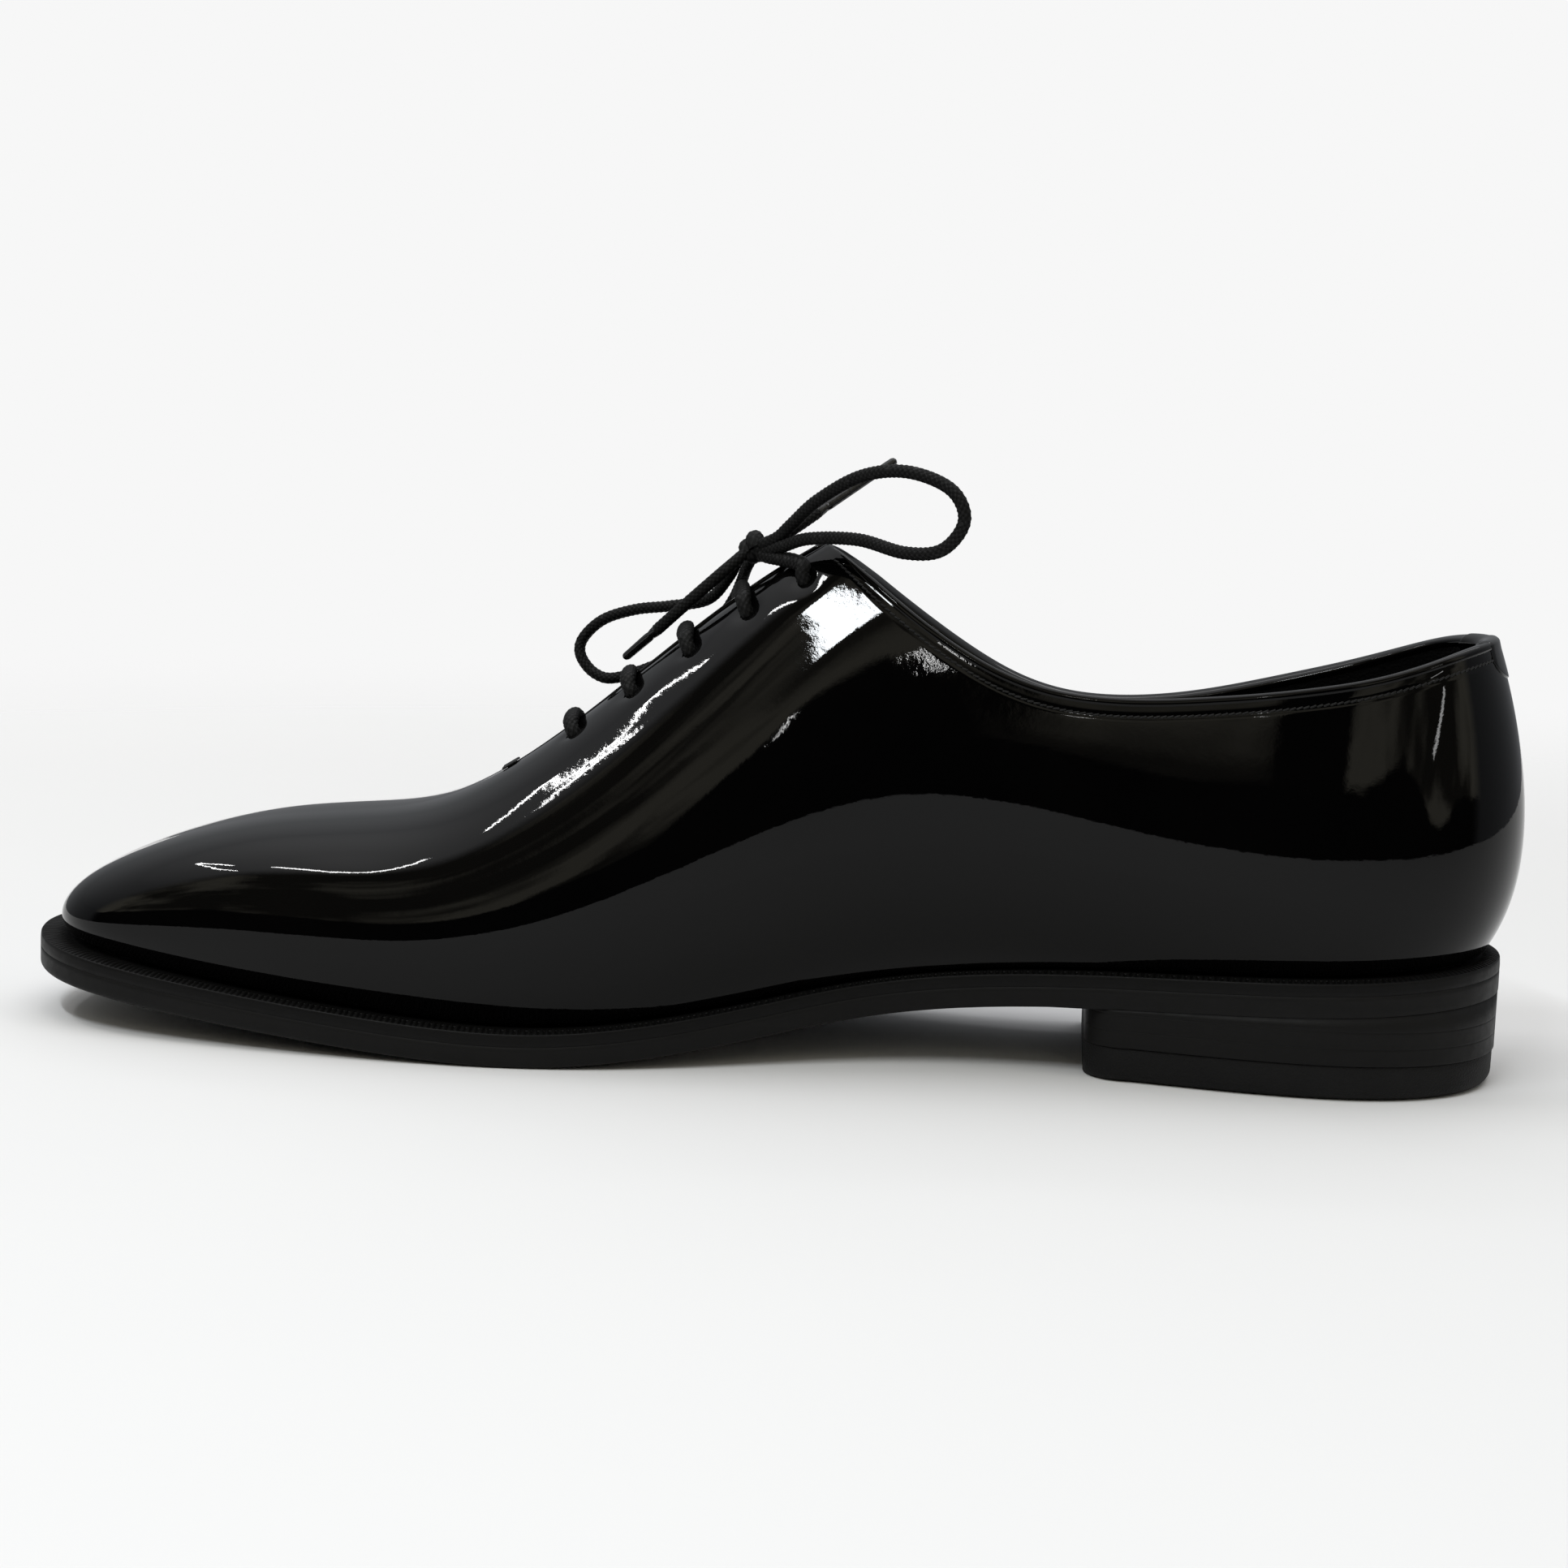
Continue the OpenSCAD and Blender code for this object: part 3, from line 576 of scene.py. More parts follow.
def drive(nt, key, fac, *stops):
    """A ramp into one socket of the shader. A stop's value is a number or a colour."""
    stops = [(pos, v if isinstance(v, tuple) else (v, v, v)) for pos, v in stops]
    nt.links.new(ramp(nt, fac, stops), nt.nodes["Principled BSDF"].inputs[key])


def math_node(nt, how, a, b):
    return shader(nt, "Math", {0: a, 1: b}, operation=how).outputs[0]


def times(nt, a, b):
    return math_node(nt, "MULTIPLY", a, b)


def weighed(nt, a, part_a, b, part_b=1.0):
    """The sum of two textures, each times its part."""
    return math_node(nt, "ADD", times(nt, a, part_a), times(nt, b, part_b))


def bump(nt, height, strength, distance):
    b = shader(nt, "Bump", {"Strength": strength, "Distance": distance, "Height": height})
    nt.links.new(b.outputs["Normal"], nt.nodes["Principled BSDF"].inputs["Normal"])


def shaded(color, factor):
    return tuple(c * factor for c in color)


def patent_material():
    """Black patent: a mirror film whose surface carries the leather's fine grain very faintly."""
    nt = material("patent", (0.001, 0.001, 0.0011), 0.035, spec=0.182)
    grain, waves = noise_tex(nt, 900, 3, 0.6), noise_tex(nt, 160, 2, 0.5)
    bump(nt, weighed(nt, grain, 0.35, waves), 0.024, 0.0006)
    drive(nt, "Roughness", noise_tex(nt, 60, 5), (0.35, 0.012), (0.75, 0.03))
    drive(nt, "Base Color", noise_tex(nt, 30, 3),
          (0.3, (0.0008, 0.0008, 0.0009)), (0.8, (0.0015, 0.0014, 0.0014)))


def edge_material(name, tone, layers, rough):
    """Dyed and burnished leather edge, with faint lines of the leather's layers and scuffs."""
    nt = material(name, (tone, tone, tone), rough, spec=0.12)
    strata = noise_tex(nt, 40, 5, 0.6, stretch=(0.5, 0.5, layers))
    scuff = noise_tex(nt, 260, 6, 0.7)
    drive(nt, "Base Color", strata, (0.3, tone * 0.85), (0.62, shaded((1, 0.98, 0.97), tone)),
          (0.8, shaded((1.25, 1.22, 1.2), tone)))
    drive(nt, "Roughness", scuff, (0.3, rough), (0.75, 0.6))
    bump(nt, weighed(nt, strata, 0.7, scuff, 0.8), 0.22, 0.0004)


def grain_material(name, color, rough, cell=1400, strength=0.5, spec=0.3, vary=0.25):
    """Uncoated leather: pebbled grain, with wear in colour and gloss."""
    nt = material(name, color, rough, spec)
    cells = shader(nt, "TexVoronoi", {"Vector": coords(nt), "Scale": cell}).outputs["Distance"]
    pores = noise_tex(nt, cell * 1.7, 3)
    patches = noise_tex(nt, 45, 5)
    drive(nt, "Base Color", patches, (0.25, shaded(color, 1 - vary)), (0.75, shaded(color, 1 + vary)))
    drive(nt, "Roughness", patches, (0.2, rough + 0.1), (0.8, rough - 0.08))
    bump(nt, weighed(nt, pores, 0.5, cells), strength, 0.0003)


def cloth_material(name, color, rough, thread, strength, sheen):
    """Woven or twisted fibre: crossed fine waves with lint-like variation."""
    nt = material(name, color, rough, spec=0.2, **{"Sheen Weight": sheen})
    fibres = noise_tex(nt, thread, 4, 0.65, stretch=(1, 1, 1.6))
    patches = noise_tex(nt, 420, 4)
    drive(nt, "Base Color", weighed(nt, fibres, 0.6, patches, 0.4), (0.35, color), (0.7, shaded(color, 2)))
    drive(nt, "Roughness", patches, (0.3, rough + 0.12), (0.8, rough - 0.12))
    bump(nt, fibres, strength, 0.00025)


def lace_material():
    """Waxed cotton braid, with painted shade in the gaps between the strands and a painted highlight on
    their crowns, both taken from the mesh's pointiness.
    """
    nt = material("lace_cotton", (0.002, 0.002, 0.0022), 0.5, spec=0.2)
    relief = shader(nt, "NewGeometry").outputs["Pointiness"]
    fibres = noise_tex(nt, 3200, 3, 0.6, stretch=(1, 1, 2))
    crown = weighed(nt, fibres, 0.06, relief)
    # Painted shade and highlight: darker colour and weaker reflection in the braid's gaps, lighter colour on
    # its crowns
    drive(nt, "Base Color", crown, (0.47, 0.0004), (0.53, (0.0015, 0.0016, 0.0015)), (0.62, 0.0065))
    drive(nt, "Roughness", crown, (0.47, 0.75), (0.6, 0.46))
    drive(nt, "Specular IOR Level", crown, (0.47, 0.02), (0.56, 0.2))
    bump(nt, fibres, 0.5, 0.0002)


def speckled_material(name, base, fleck, scale, rough=0.9, metal=0.0):
    """A rough or metallic stuff with flecks in a second colour."""
    nt = material(name, base, rough, Metallic=metal)
    flecks = noise_tex(nt, scale, 6, 0.75)
    drive(nt, "Base Color", flecks, (0.4, base), (0.62, fleck))
    bump(nt, flecks, 0.35, 0.0004)


def aglet_material():
    """Dark plastic film shrunk on the lace's end, with the cord's ribs showing through."""
    nt = material("aglet_plastic", (0.004, 0.004, 0.004), 0.16, spec=0.3,
                  **{"Coat Weight": 0.25, "Coat Roughness": 0.08})
    ribs = noise_tex(nt, 700, 3, 0.5, stretch=(2.2, 1, 0.7))
    drive(nt, "Roughness", ribs, (0.35, 0.12), (0.7, 0.32))
    bump(nt, ribs, 0.3, 0.0003)


patent_material()
edge_material("welt_leather", 0.0046, 3.0, 0.4)
edge_material("sole_leather", 0.0074, 7.0, 0.42)
grain_material("heel_rubber", (0.0068, 0.0068, 0.0069), 0.62, 2600, 0.35, 0.15, 0.12)
cloth_material("sole_thread", (0.005, 0.005, 0.005), 0.5, 3000, 0.6, 0.03)
cloth_material("upper_thread", (0.004, 0.004, 0.004), 0.45, 3200, 0.5, 0.03)
grain_material("lining_black", (0.0028, 0.0028, 0.0031), 0.6, 1500, 0.45, 0.12, 0.3)
grain_material("lining_tan", (0.5, 0.4, 0.28), 0.65)
grain_material("insole_leather", (0.5, 0.36, 0.22), 0.7)
speckled_material("stiffener", (0.3, 0.23, 0.16), (0.42, 0.34, 0.25), 700)
cloth_material("backing_cloth", (0.45, 0.43, 0.38), 0.85, 1500, 0.6, 0.2)
speckled_material("cork", (0.4, 0.26, 0.15), (0.2, 0.12, 0.06), 500)
speckled_material("shank_steel", (0.5, 0.51, 0.52), (0.4, 0.4, 0.41), 300, 0.35, 1.0)
speckled_material("nail_brass", (0.62, 0.46, 0.22), (0.42, 0.3, 0.14), 900, 0.38, 1.0)
speckled_material("eyelet_metal", (0.55, 0.55, 0.56), (0.45, 0.45, 0.46), 600, 0.35, 1.0)
lace_material()
aglet_material()

# Hidden CAD pieces that stay as they are take their procedural materials here
for subpart in frame["record"]["subparts"]:
    slots = frame["nodes"][subpart["node"]].data.materials
    slots.clear()
    slots.append(MAT[subpart["material_slot"]])

# ---- Upper

fine_rows = stations((0, 76, 0.5), (76, 92, 0.16), (92, 114, 0.3), (114, 172, 0.5), (172, 180, 0.4))
collar_rows = stations((0, 76, 0.8), (76, 92, 0.3), (92, THROAT - 0.4, 0.6))


def in_hole(mid):
    return np.any([np.linalg.norm(mid - h, axis=-1) < HOLE_R for h in hole_places], axis=0)


leather = layer(fine_rows, 0.0, LEATHER_T, detailed_face, cols=96, cut=in_hole)
leather.piece("upper_leather", "patent", "upper")
lining = layer(collar_rows, LINING_D0, LINING_D1, cols=44, ridge_from=math.inf)
lining.piece("collar_lining", "lining_black", "quarter_lining")

# The folded edge stands a little outside the layers that it wraps
BIND_END, BIND_FADE = 85.2, 2.5
BIND_HALF = LINING_D1 / 2 + 0.28
BIND_TALL = 1.05


def folded_edge():
    """The folded edge round the foot opening: a flattened roll over all the layers."""
    pile = Pile()
    for phi, side, s in both(stations((0, 76, 0.6), (76, BIND_END, 0.2))):
        th = top_angle(phi, side)
        n = normal_of(phi, side, th)
        mid = below(phi, side, th, LINING_D1 / 2)
        away = edge_way(mid, n, s)
        fade = np.clip((BIND_END - phi) / BIND_FADE, 0.12, 1) ** 0.5
        ring = []
        for a in turns(28):
            c, q = math.cos(a), math.sin(a)
            wide = BIND_HALF * np.sign(c) * abs(c) ** 0.62
            tall = BIND_TALL * np.sign(q) * abs(q) ** 0.8
            ring.append(mid + n * wide + away * ((tall + 0.05) * fade)[:, None])
        ring = np.stack(ring, 1)
        ring[0, :, 1] = 0
        pile.grid(ring, closed_v=True, flip=s > 0)
        pile.fan(ring[-1], ring[-1].mean(0), flip=s < 0)
    pile.piece("folded_edge", "patent", "topline_binding")


def topline_stitches():
    """Single stitches in the groove below the folded edge."""
    pile = Pile()
    for phi, side, _ in both(np.arange(6.0, 86.0, 0.1)):
        top = top_angle(phi, side)
        step_down = smooth_face(phi, side, top - 1) - smooth_face(phi, side, top)
        per_degree = np.linalg.norm(step_down, axis=-1)
        th = top - STITCH_DROP / np.maximum(per_degree, 0.4)
        stitch_row(pile, smooth_face(phi, side, th), normal_of(phi, side, th),
                   pitch=1.3, start=0.2, end=1.1, r=0.22, flat=0.85, slant=0.12, sink=0.05)
    pile.piece("topline_stitches", "upper_thread", "topline_thread", weld=0)


TAB_WIDE, TAB_T = 12.5, 0.34
# Up its outside: share of the drop to its lower edge, share of its thickness there
TAB_EDGE = ((1, -0.3), (0.995, 0.55), (0.97, 0.9), (0.92, 1), (0.8, 1), (0.6, 1), (0.4, 1), (0.2, 1))


def heel_tab():
    """The strip folded over the top of the back seam: down the outside, over the edge, inside."""
    pile = Pile()
    for phi, side, s in both(TAB_WIDE * np.sin(np.linspace(0, math.pi / 2, 26))):
        top = top_angle(phi, side)
        drop = 0.9 + 3.9 * np.sqrt(np.maximum(0, 1 - (phi / TAB_WIDE) ** 2.6))
        lift = TAB_T * np.minimum(1, (1 - (phi / TAB_WIDE)) * 8 + 0.2)
        outside = [below(phi, side, top - f * drop, -lift * k) for f, k in TAB_EDGE]
        n = normal_of(phi, side, top)
        mid = below(phi, side, top, LINING_D1 / 2)
        along = np.gradient(mid, axis=0)
        along[0] = [0, s, 0]
        away = unit(s * np.cross(along, n))
        over = [mid + (BIND_HALF + lift[:, None] * 0.6) * math.cos(a) * n
                + (1.1 + lift[:, None]) * math.sin(a) * away for a in np.linspace(0.1, math.pi - 0.1, 14)]
        inside = [below(phi, side, top - f, LINING_D1 + out)
                  for f, out in ((0.8, 0.3), (1.8, 0.3), (3.0, 0.3), (3.1, -0.2))]
        g = np.stack(outside + over + inside, 1)
        g[0, :, 1] = 0
        pile.grid(g, flip=s < 0)
    pile.piece("heel_tab_strip", "patent", "heel_tab")


def throat_tack():
    """A short bar of close stitches across the foot of the slit."""
    pile = Pile()
    for k in range(-3, 4):
        phi = THROAT + 0.35 + k * 0.16
        mid = skin(phi, MEDIAL, 90, -0.5)
        for a, b in ((skin(phi, LATERAL, 87.4, -0.28), mid), (mid, skin(phi, MEDIAL, 87.4, -0.28))):
            capsule(pile, a, b, 0.26, 0.9)
    pile.piece("throat_bar_tack", "upper_thread", "throat_tack", weld=0)


folded_edge()
topline_stitches()
heel_tab()
throat_tack()

# ---- Tongue

TONGUE_DEPTH = LINING_D1 + 5


def tongue_low(phi):
    return 56 - 6 * (THROAT - phi) / 30


def ridge_angle(phi, side):
    return filled(phi, 90)


for piece, d0, d1, slot, node in (("tongue_leather", 0, 1, "patent", "tongue"),
                                  ("tongue_backing", 1.3, 2.1, "lining_black", "tongue_lining")):
    flap = layer(stations((85, 107.5, 0.5)), TONGUE_DEPTH + d0, TONGUE_DEPTH + d1, cols=26,
                 low=tongue_low, high=ridge_angle, ridge_from=0)
    flap.piece(piece, slot, node, "tongue_flap")

# ---- Sole


def tread_radius(x):
    """The rounding of the outsole's lower edge: full at the forepart, nearly none over the heel."""
    return 0.14 + 0.76 * np.clip((x - BREAST_X - 1) / 6, 0, 1)


def outsole():
    """From the middle of its top, round its edge, to the middle of its underside."""
    pile = Pile()
    shares = (0, 0.3, 0.6, 0.85)
    for phi, side, s in both(stations((0, 20, 0.25), (20, 160, 0.35), (160, 180, 0.22))):
        middle, edge = plan(phi, side), edge_at(phi)
        profile = [(middle * (1.0, f), OUTSOLE_T) for f in shares]
        profile += [(plan_out(phi, side, edge + out), z) for out, z in (
            (-2.0, OUTSOLE_T), (-0.06, OUTSOLE_T), (-0.01, OUTSOLE_T - 0.04), (0, 3.2), (0, 2.2), (0, 1.3))]
        for a in np.linspace(0.15, math.pi / 2, 6):
            q = plan_out(phi, side, edge - tread_radius(station_x(phi)) * (1 - math.cos(a)))
            profile.append((q, tread_radius(q[:, 0]) * (1 - math.sin(a))))
        profile.append((plan_out(phi, side, edge - 2.5), 0))
        profile += [(middle * (1.0, f), 0) for f in shares[::-1]]
        sole_grid(pile, phi, profile, s)
    pile.piece("outsole_leather", "sole_leather", "outsole")


NOTCH = 1.2
WELT_TOP = WELT_Z0 + WELT_T
# Across the welt's top: share of the way from the feather to the outer lip, depth of a notch there
NOTCHED = ((0, 0), (0.3, 0), (0.4, 0.25), (0.48, 0.75), (0.56, 1), (0.68, 1), (0.8, 0.95), (0.9, 0.75),
           (1, 0.35))
# Round its lip: distance inside the sole's edge line, height
WELT_LIP = ((0.32, WELT_TOP - 0.16), (0.2, WELT_TOP - 0.22), (0.1, WELT_TOP - 0.4), (0.04, WELT_TOP - 1.0),
            (0, WELT_Z0 + 0.8), (0, WELT_Z0 - 0.05), (0.05, WELT_Z0 - 0.13))


def welt_ring():
    """The welt, with the marks of the fudge wheel pressed across its top up to a plain outer lip."""
    pile = Pile()
    fine = np.arange(0, 180.001, 0.05)
    for s in (MEDIAL, LATERAL):
        d = lengths(plan_out(fine, filled(fine, s), edge_at(fine)))
        run = np.linspace(0, d[-1], int(d[-1] / 0.12))
        rows = np.interp(run, d, fine)
        rows[0], rows[-1] = 0, 180
        side = filled(rows, s)
        rng = np.random.default_rng(21 + s)
        marks = np.arange(-1, int(d[-1] / NOTCH) + 3)
        at_mark = marks * NOTCH + rng.uniform(-0.09, 0.09, len(marks))
        nearest = np.abs(run[:, None] - at_mark[None, :]).argmin(1)
        off = np.abs(run - at_mark[nearest]) / (NOTCH / 2)
        groove = np.clip(1 - off / 0.62, 0, 1) ** 0.8 * rng.uniform(0.75, 1.1, len(marks))[nearest]
        out, inside = edge_at(rows), filled(rows, -4)
        heights = [(inside, WELT_Z0), (inside, WELT_TOP - 0.1)]
        for f, depth in NOTCHED:
            crown = 0.42 * math.sin(math.pi * min(1, max(0, (f - 0.3) / 0.75)))
            heights.append((-1.2 + (out - 0.45 + 1.2) * f,
                            WELT_TOP + crown - 0.62 * depth * groove - 0.45 * max(0, f - 0.6)))
        heights += [(out - a, z) for a, z in WELT_LIP] + [(inside, WELT_Z0)]
        sole_grid(pile, rows, [(plan_out(rows, side, a), z) for a, z in heights], s)
    pile.piece("welt_strip", "welt_leather", "welt")


def welt_stitches():
    """Stitches laid across every second notch."""
    pile = Pile()
    for phi, side, _ in both(np.arange(0.5, 179.5, 0.05)):
        q = plan_out(phi, side, edge_at(phi) * 0.52 - 0.5)
        line = np.column_stack([q, sole_z(q[:, 0]) + WELT_TOP - 0.05])
        stitch_row(pile, line, np.tile([0.0, 0, 1], (len(line), 1)), pitch=2 * NOTCH,
                   start=0.3 * NOTCH, end=1.7 * NOTCH, r=0.26, flat=0.8)
    pile.piece("welt_stitches", "sole_thread", "welt_thread", weld=0)


outsole()
welt_ring()
welt_stitches()

# ---- Heel

FLAT_TOP = float(sole_z(*singles(BREAST_X))[0]) - 0.5
LIFT_T = (FLAT_TOP - TOP_LIFT_T - GAP) / 2
heel_rows = stations((0, 20, 0.4), (20, station_at(BREAST_X + 3), 0.7))
BREAST_R = {MEDIAL: 8.0, LATERAL: 3.0}
BREAST_POINTS = 12


def heel_outline(inset):
    """The heel's plan as a closed ring with rounded front corners, from the back seam round."""
    ring = []
    for phi, side, s in both(heel_rows):
        p, r = plan_out(phi, side, edge_at(phi) - inset), BREAST_R[s]
        p = p[p[:, 0] < BREAST_X - r]
        corner = [[BREAST_X - r + r * math.sin(a), p[-1, 1] - s * (r - r * math.cos(a))]
                  for a in np.linspace(0, math.pi / 2, 9)]
        ring.append(np.vstack([p, corner]))
    breast_y = np.linspace(ring[0][-1, 1], ring[1][-1, 1], BREAST_POINTS + 2)[1:-1]
    breast = np.stack([np.full(BREAST_POINTS, BREAST_X), breast_y], -1)
    return np.vstack([ring[0], breast, ring[1][::-1][:-1]])


def heel_part(name, slot, node, levels):
    """A closed body lofted through (inset, height) levels of the heel's plan. Heights may follow x."""
    pile = Pile()
    g = []
    for inset, z in levels:
        q = heel_outline(inset)
        g.append(np.column_stack([q, z(q[:, 0]) if callable(z) else np.full(len(q), z)]))
    g = np.array(g)
    pile.grid(g, closed_v=True)
    for end in (0, -1):
        z, centre, last = levels[end][1], g[end].mean(0), g[end]
        for f in (0.7, 0.4, 0.15):
            ring = centre + (g[end] - centre) * f
            if callable(z):
                ring[:, 2] = z(ring[:, 0])
            pile.grid(np.array([last, ring]), closed_v=True, flip=end == 0)
            last = ring
        if callable(z):
            centre[2] = z(centre[:1])[0]
        pile.fan(last, centre, flip=end == 0)
    pile.piece(name, slot, node, weld=0.003)


def lift_levels(z0, z1, inset):
    corner = inset + 0.03
    straight = [(inset, z) for z in (z0 + 0.03, z0 + 0.4, z1 - 0.4, z1 - 0.03)]
    return [(corner, z0), *straight, (corner, z1)]


lift_seam = TOP_LIFT_T + GAP / 2 + LIFT_T
heel_part("heel_wedge_leather", "sole_leather", "heel_wedge",
          [(0.14, FLAT_TOP), (0.1, FLAT_TOP + 0.04), (0.1, FLAT_TOP + 0.3),
           (0.1, lambda x: sole_z(x) - 0.02)])
heel_part("heel_lift_upper_leather", "sole_leather", "heel_lift_upper",
          lift_levels(lift_seam, FLAT_TOP, 0.11))
heel_part("heel_lift_lower_leather", "sole_leather", "heel_lift_lower",
          lift_levels(TOP_LIFT_T + 0.03, lift_seam, 0.12))
TREAD_R = 2.4
heel_part("top_lift_rubber", "heel_rubber", "top_lift",
          [(0.5 + TREAD_R * (1 - math.sin(a)), TREAD_R * (1 - math.cos(a)))
           for a in np.linspace(0, math.pi / 2, 8)]
          + [(0.46, 4.5), (0.45, TOP_LIFT_T - 0.3), (0.55, TOP_LIFT_T - 0.08), (0.75, TOP_LIFT_T)])


def nails():
    """The heads of the heel nails, flush with the tread."""
    pile = Pile()
    a = turns(20)
    for s in (MEDIAL, LATERAL):
        for phi in range(12, 58, 9):
            x, y = plan_out(*singles(phi, s, -3))[0]
            rings = [np.stack([x + r * np.cos(a), y + r * np.sin(a), np.full(len(a), z)], -1)
                     for r, z in ((0.2, 0), (0.55, 0.005), (0.75, 0.06), (0.8, 0.2), (0.8, 10), (0.1, 12))]
            pile.grid(np.array(rings), closed_v=True)
            pile.fan(rings[0], rings[0].mean(0), flip=True)
    pile.piece("heel_nail_heads", "nail_brass", "heel_nails", weld=0)


nails()

# ---- Sock

SOCK_Z = SEAT_RISE + LEATHER_T + 0.8 + 0.9 + 3 * GAP + 2.6 + GAP
SOCK_TOP = SOCK_Z + 1.0
SOCK_GAP = 0.12


def sock():
    """The sock liner. Where the foot opening shows it, its edge turns up against the lining all round."""
    pile = Pile()
    for phi, side, s in both(stations((0, 180, 1.2))):
        cut_edge = plan_out(phi, side, -4.5 - 7 * (np.maximum(0, phi - 125) / 55) ** 2)
        theta = arcsind((SOCK_TOP - SEAT_RISE) / np.maximum(ridge_rise(phi), 16))
        wall = below(phi, side, theta, LINING_D1 + SOCK_GAP)[:, :2]
        seen = np.clip((148 - phi) / 20, 0, 1)[:, None]
        rim = cut_edge * (1 - seen) + wall * seen
        inward, middle = -way_out(phi, side), plan(phi, side)
        profile = [(middle * (1.0, share), SOCK_TOP) for share in (0, 0.35, 0.6)]
        profile += [(rim + inward * a, SOCK_TOP + z) for a, z in (
            (2.6, 0), (1.2, 0.08), (0.4, 0.3), (0.1, 0.32), (0, 0.1), (0.3, -0.35))]
        profile += [(cut_edge + inward * 0.4, SOCK_Z + 0.1), (cut_edge + inward * 1.5, SOCK_Z),
                    (middle * (1.0, 0), SOCK_Z)]
        sole_grid(pile, phi, profile, s)
    pile.piece("sock_leather", "lining_black", "sock_liner")


sock()

# ---- Lace

UNDER = LINING_D1 + 1 + LACE_D / 2
ABOVE = -LACE_D / 2 - 0.1
RIDGE_WAY = (-0.8, 0, 0.6)
KNOT = np.array([122, 2, 101.0])
BOW_WAY = np.array([-0.79, 0.05, 0.61])


def at_hole(k, side, off, depth, ahead=0.0):
    return skin(hole_station(k, side) + ahead, side, 90 - hole_angle(k) + off, depth)


def into(k, side, way):
    """Way points from above the leather down through a hole, then behind the facing."""
    return [at_hole(k, side, *rest) for rest in (
        (4.6, ABOVE), (1.3, ABOVE + 0.8), (0, 0.9), (0, LINING_D1 + 0.3),
        (0, UNDER - 0.55, way * 0.25), (0, UNDER, way * 0.9))]


def bar_mid(k):
    phi = (hole_station(k, LATERAL) + hole_station(k, MEDIAL)) / 2
    return [skin(phi, MEDIAL, 90, ABOVE - 0.15)]


near_half = (
    bar_mid(0) + into(0, MEDIAL, -1) + into(1, MEDIAL, 1)[::-1] + bar_mid(1) + into(1, LATERAL, -1)
    + [at_hole(2, LATERAL, 0, UNDER)] + into(3, LATERAL, 1)[::-1] + bar_mid(3) + into(3, MEDIAL, -1)
    + into(4, MEDIAL, 1)[::-1] + [KNOT + (-2.6, 3.6, -1.6), KNOT + (-0.4, 1.6, -0.6)])
far_half = (
    bar_mid(0) + into(0, LATERAL, -1) + [at_hole(1, LATERAL, -6, UNDER, ahead) for ahead in (2, -2)]
    + into(2, LATERAL, 1)[::-1] + bar_mid(2) + into(2, MEDIAL, -1)
    + [skin(hole_station(3, MEDIAL), MEDIAL, 89, UNDER + 0.2)] + into(4, LATERAL, 1)[::-1]
    + [KNOT + (-2.8, -3.4, -1.8), KNOT + (-0.6, -1.6, -0.8)])
lace_path = curve(near_half[::-1] + far_half[1:], 12)


def outside_share(path):
    """1 where the lace lies over the leather, 0 where it runs behind the facings."""
    p, _ = even(path)
    from_hole = np.min([np.linalg.norm(p - h, axis=-1) for h in hole_places], axis=0)
    return np.clip((from_hole - 1.2) / 2.5, 0, 1)


def cord(name, node, body, path, d, way, swell):
    """A braided cord, swollen along one way except beside the knot."""
    p, _ = even(path)
    stretch = 1 + swell * np.clip((np.linalg.norm(p - KNOT, axis=-1) - 7) / 7, 0, 1)
    pile = Pile()
    pile.tube(cord_surface(path, d, way, stretch))
    pile.piece(name, "lace_cotton", node, body, weld=0.0005)


def knot():
    """Two turns of cord pulled tight round the middle of the bow."""
    pile = Pile()
    side_way = unit(np.cross(BOW_WAY, (0, 0, 1)))
    up_way = np.cross(side_way, BOW_WAY)
    a = np.linspace(0, 2 * math.pi, 90)[:, None]
    for along, r, tilt, size, start in ((0.2, 1.75, 0.35, 1.14, 0.0), (-1.5, 1.5, -0.5, 0.95, 1.4)):
        ring = (KNOT + BOW_WAY * along + (0, 0, 0.15) + r * np.cos(a) * side_way * 1.08
                + r * np.sin(a) * up_way * 1.05 + tilt * np.sin(a + start) * BOW_WAY)
        pile.grid(cord_surface(ring, LACE_D * size, BOW_WAY, 1.15, round_ends=False), closed_v=True)
    pile.piece("bow_knot_cord", "lace_cotton", "bow_knot", weld=0.0005)


cord("lace_cord", "lace_run", "shoe", lace_path, LACE_D, RIDGE_WAY, 0.1 + 0.22 * outside_share(lace_path))
knot()

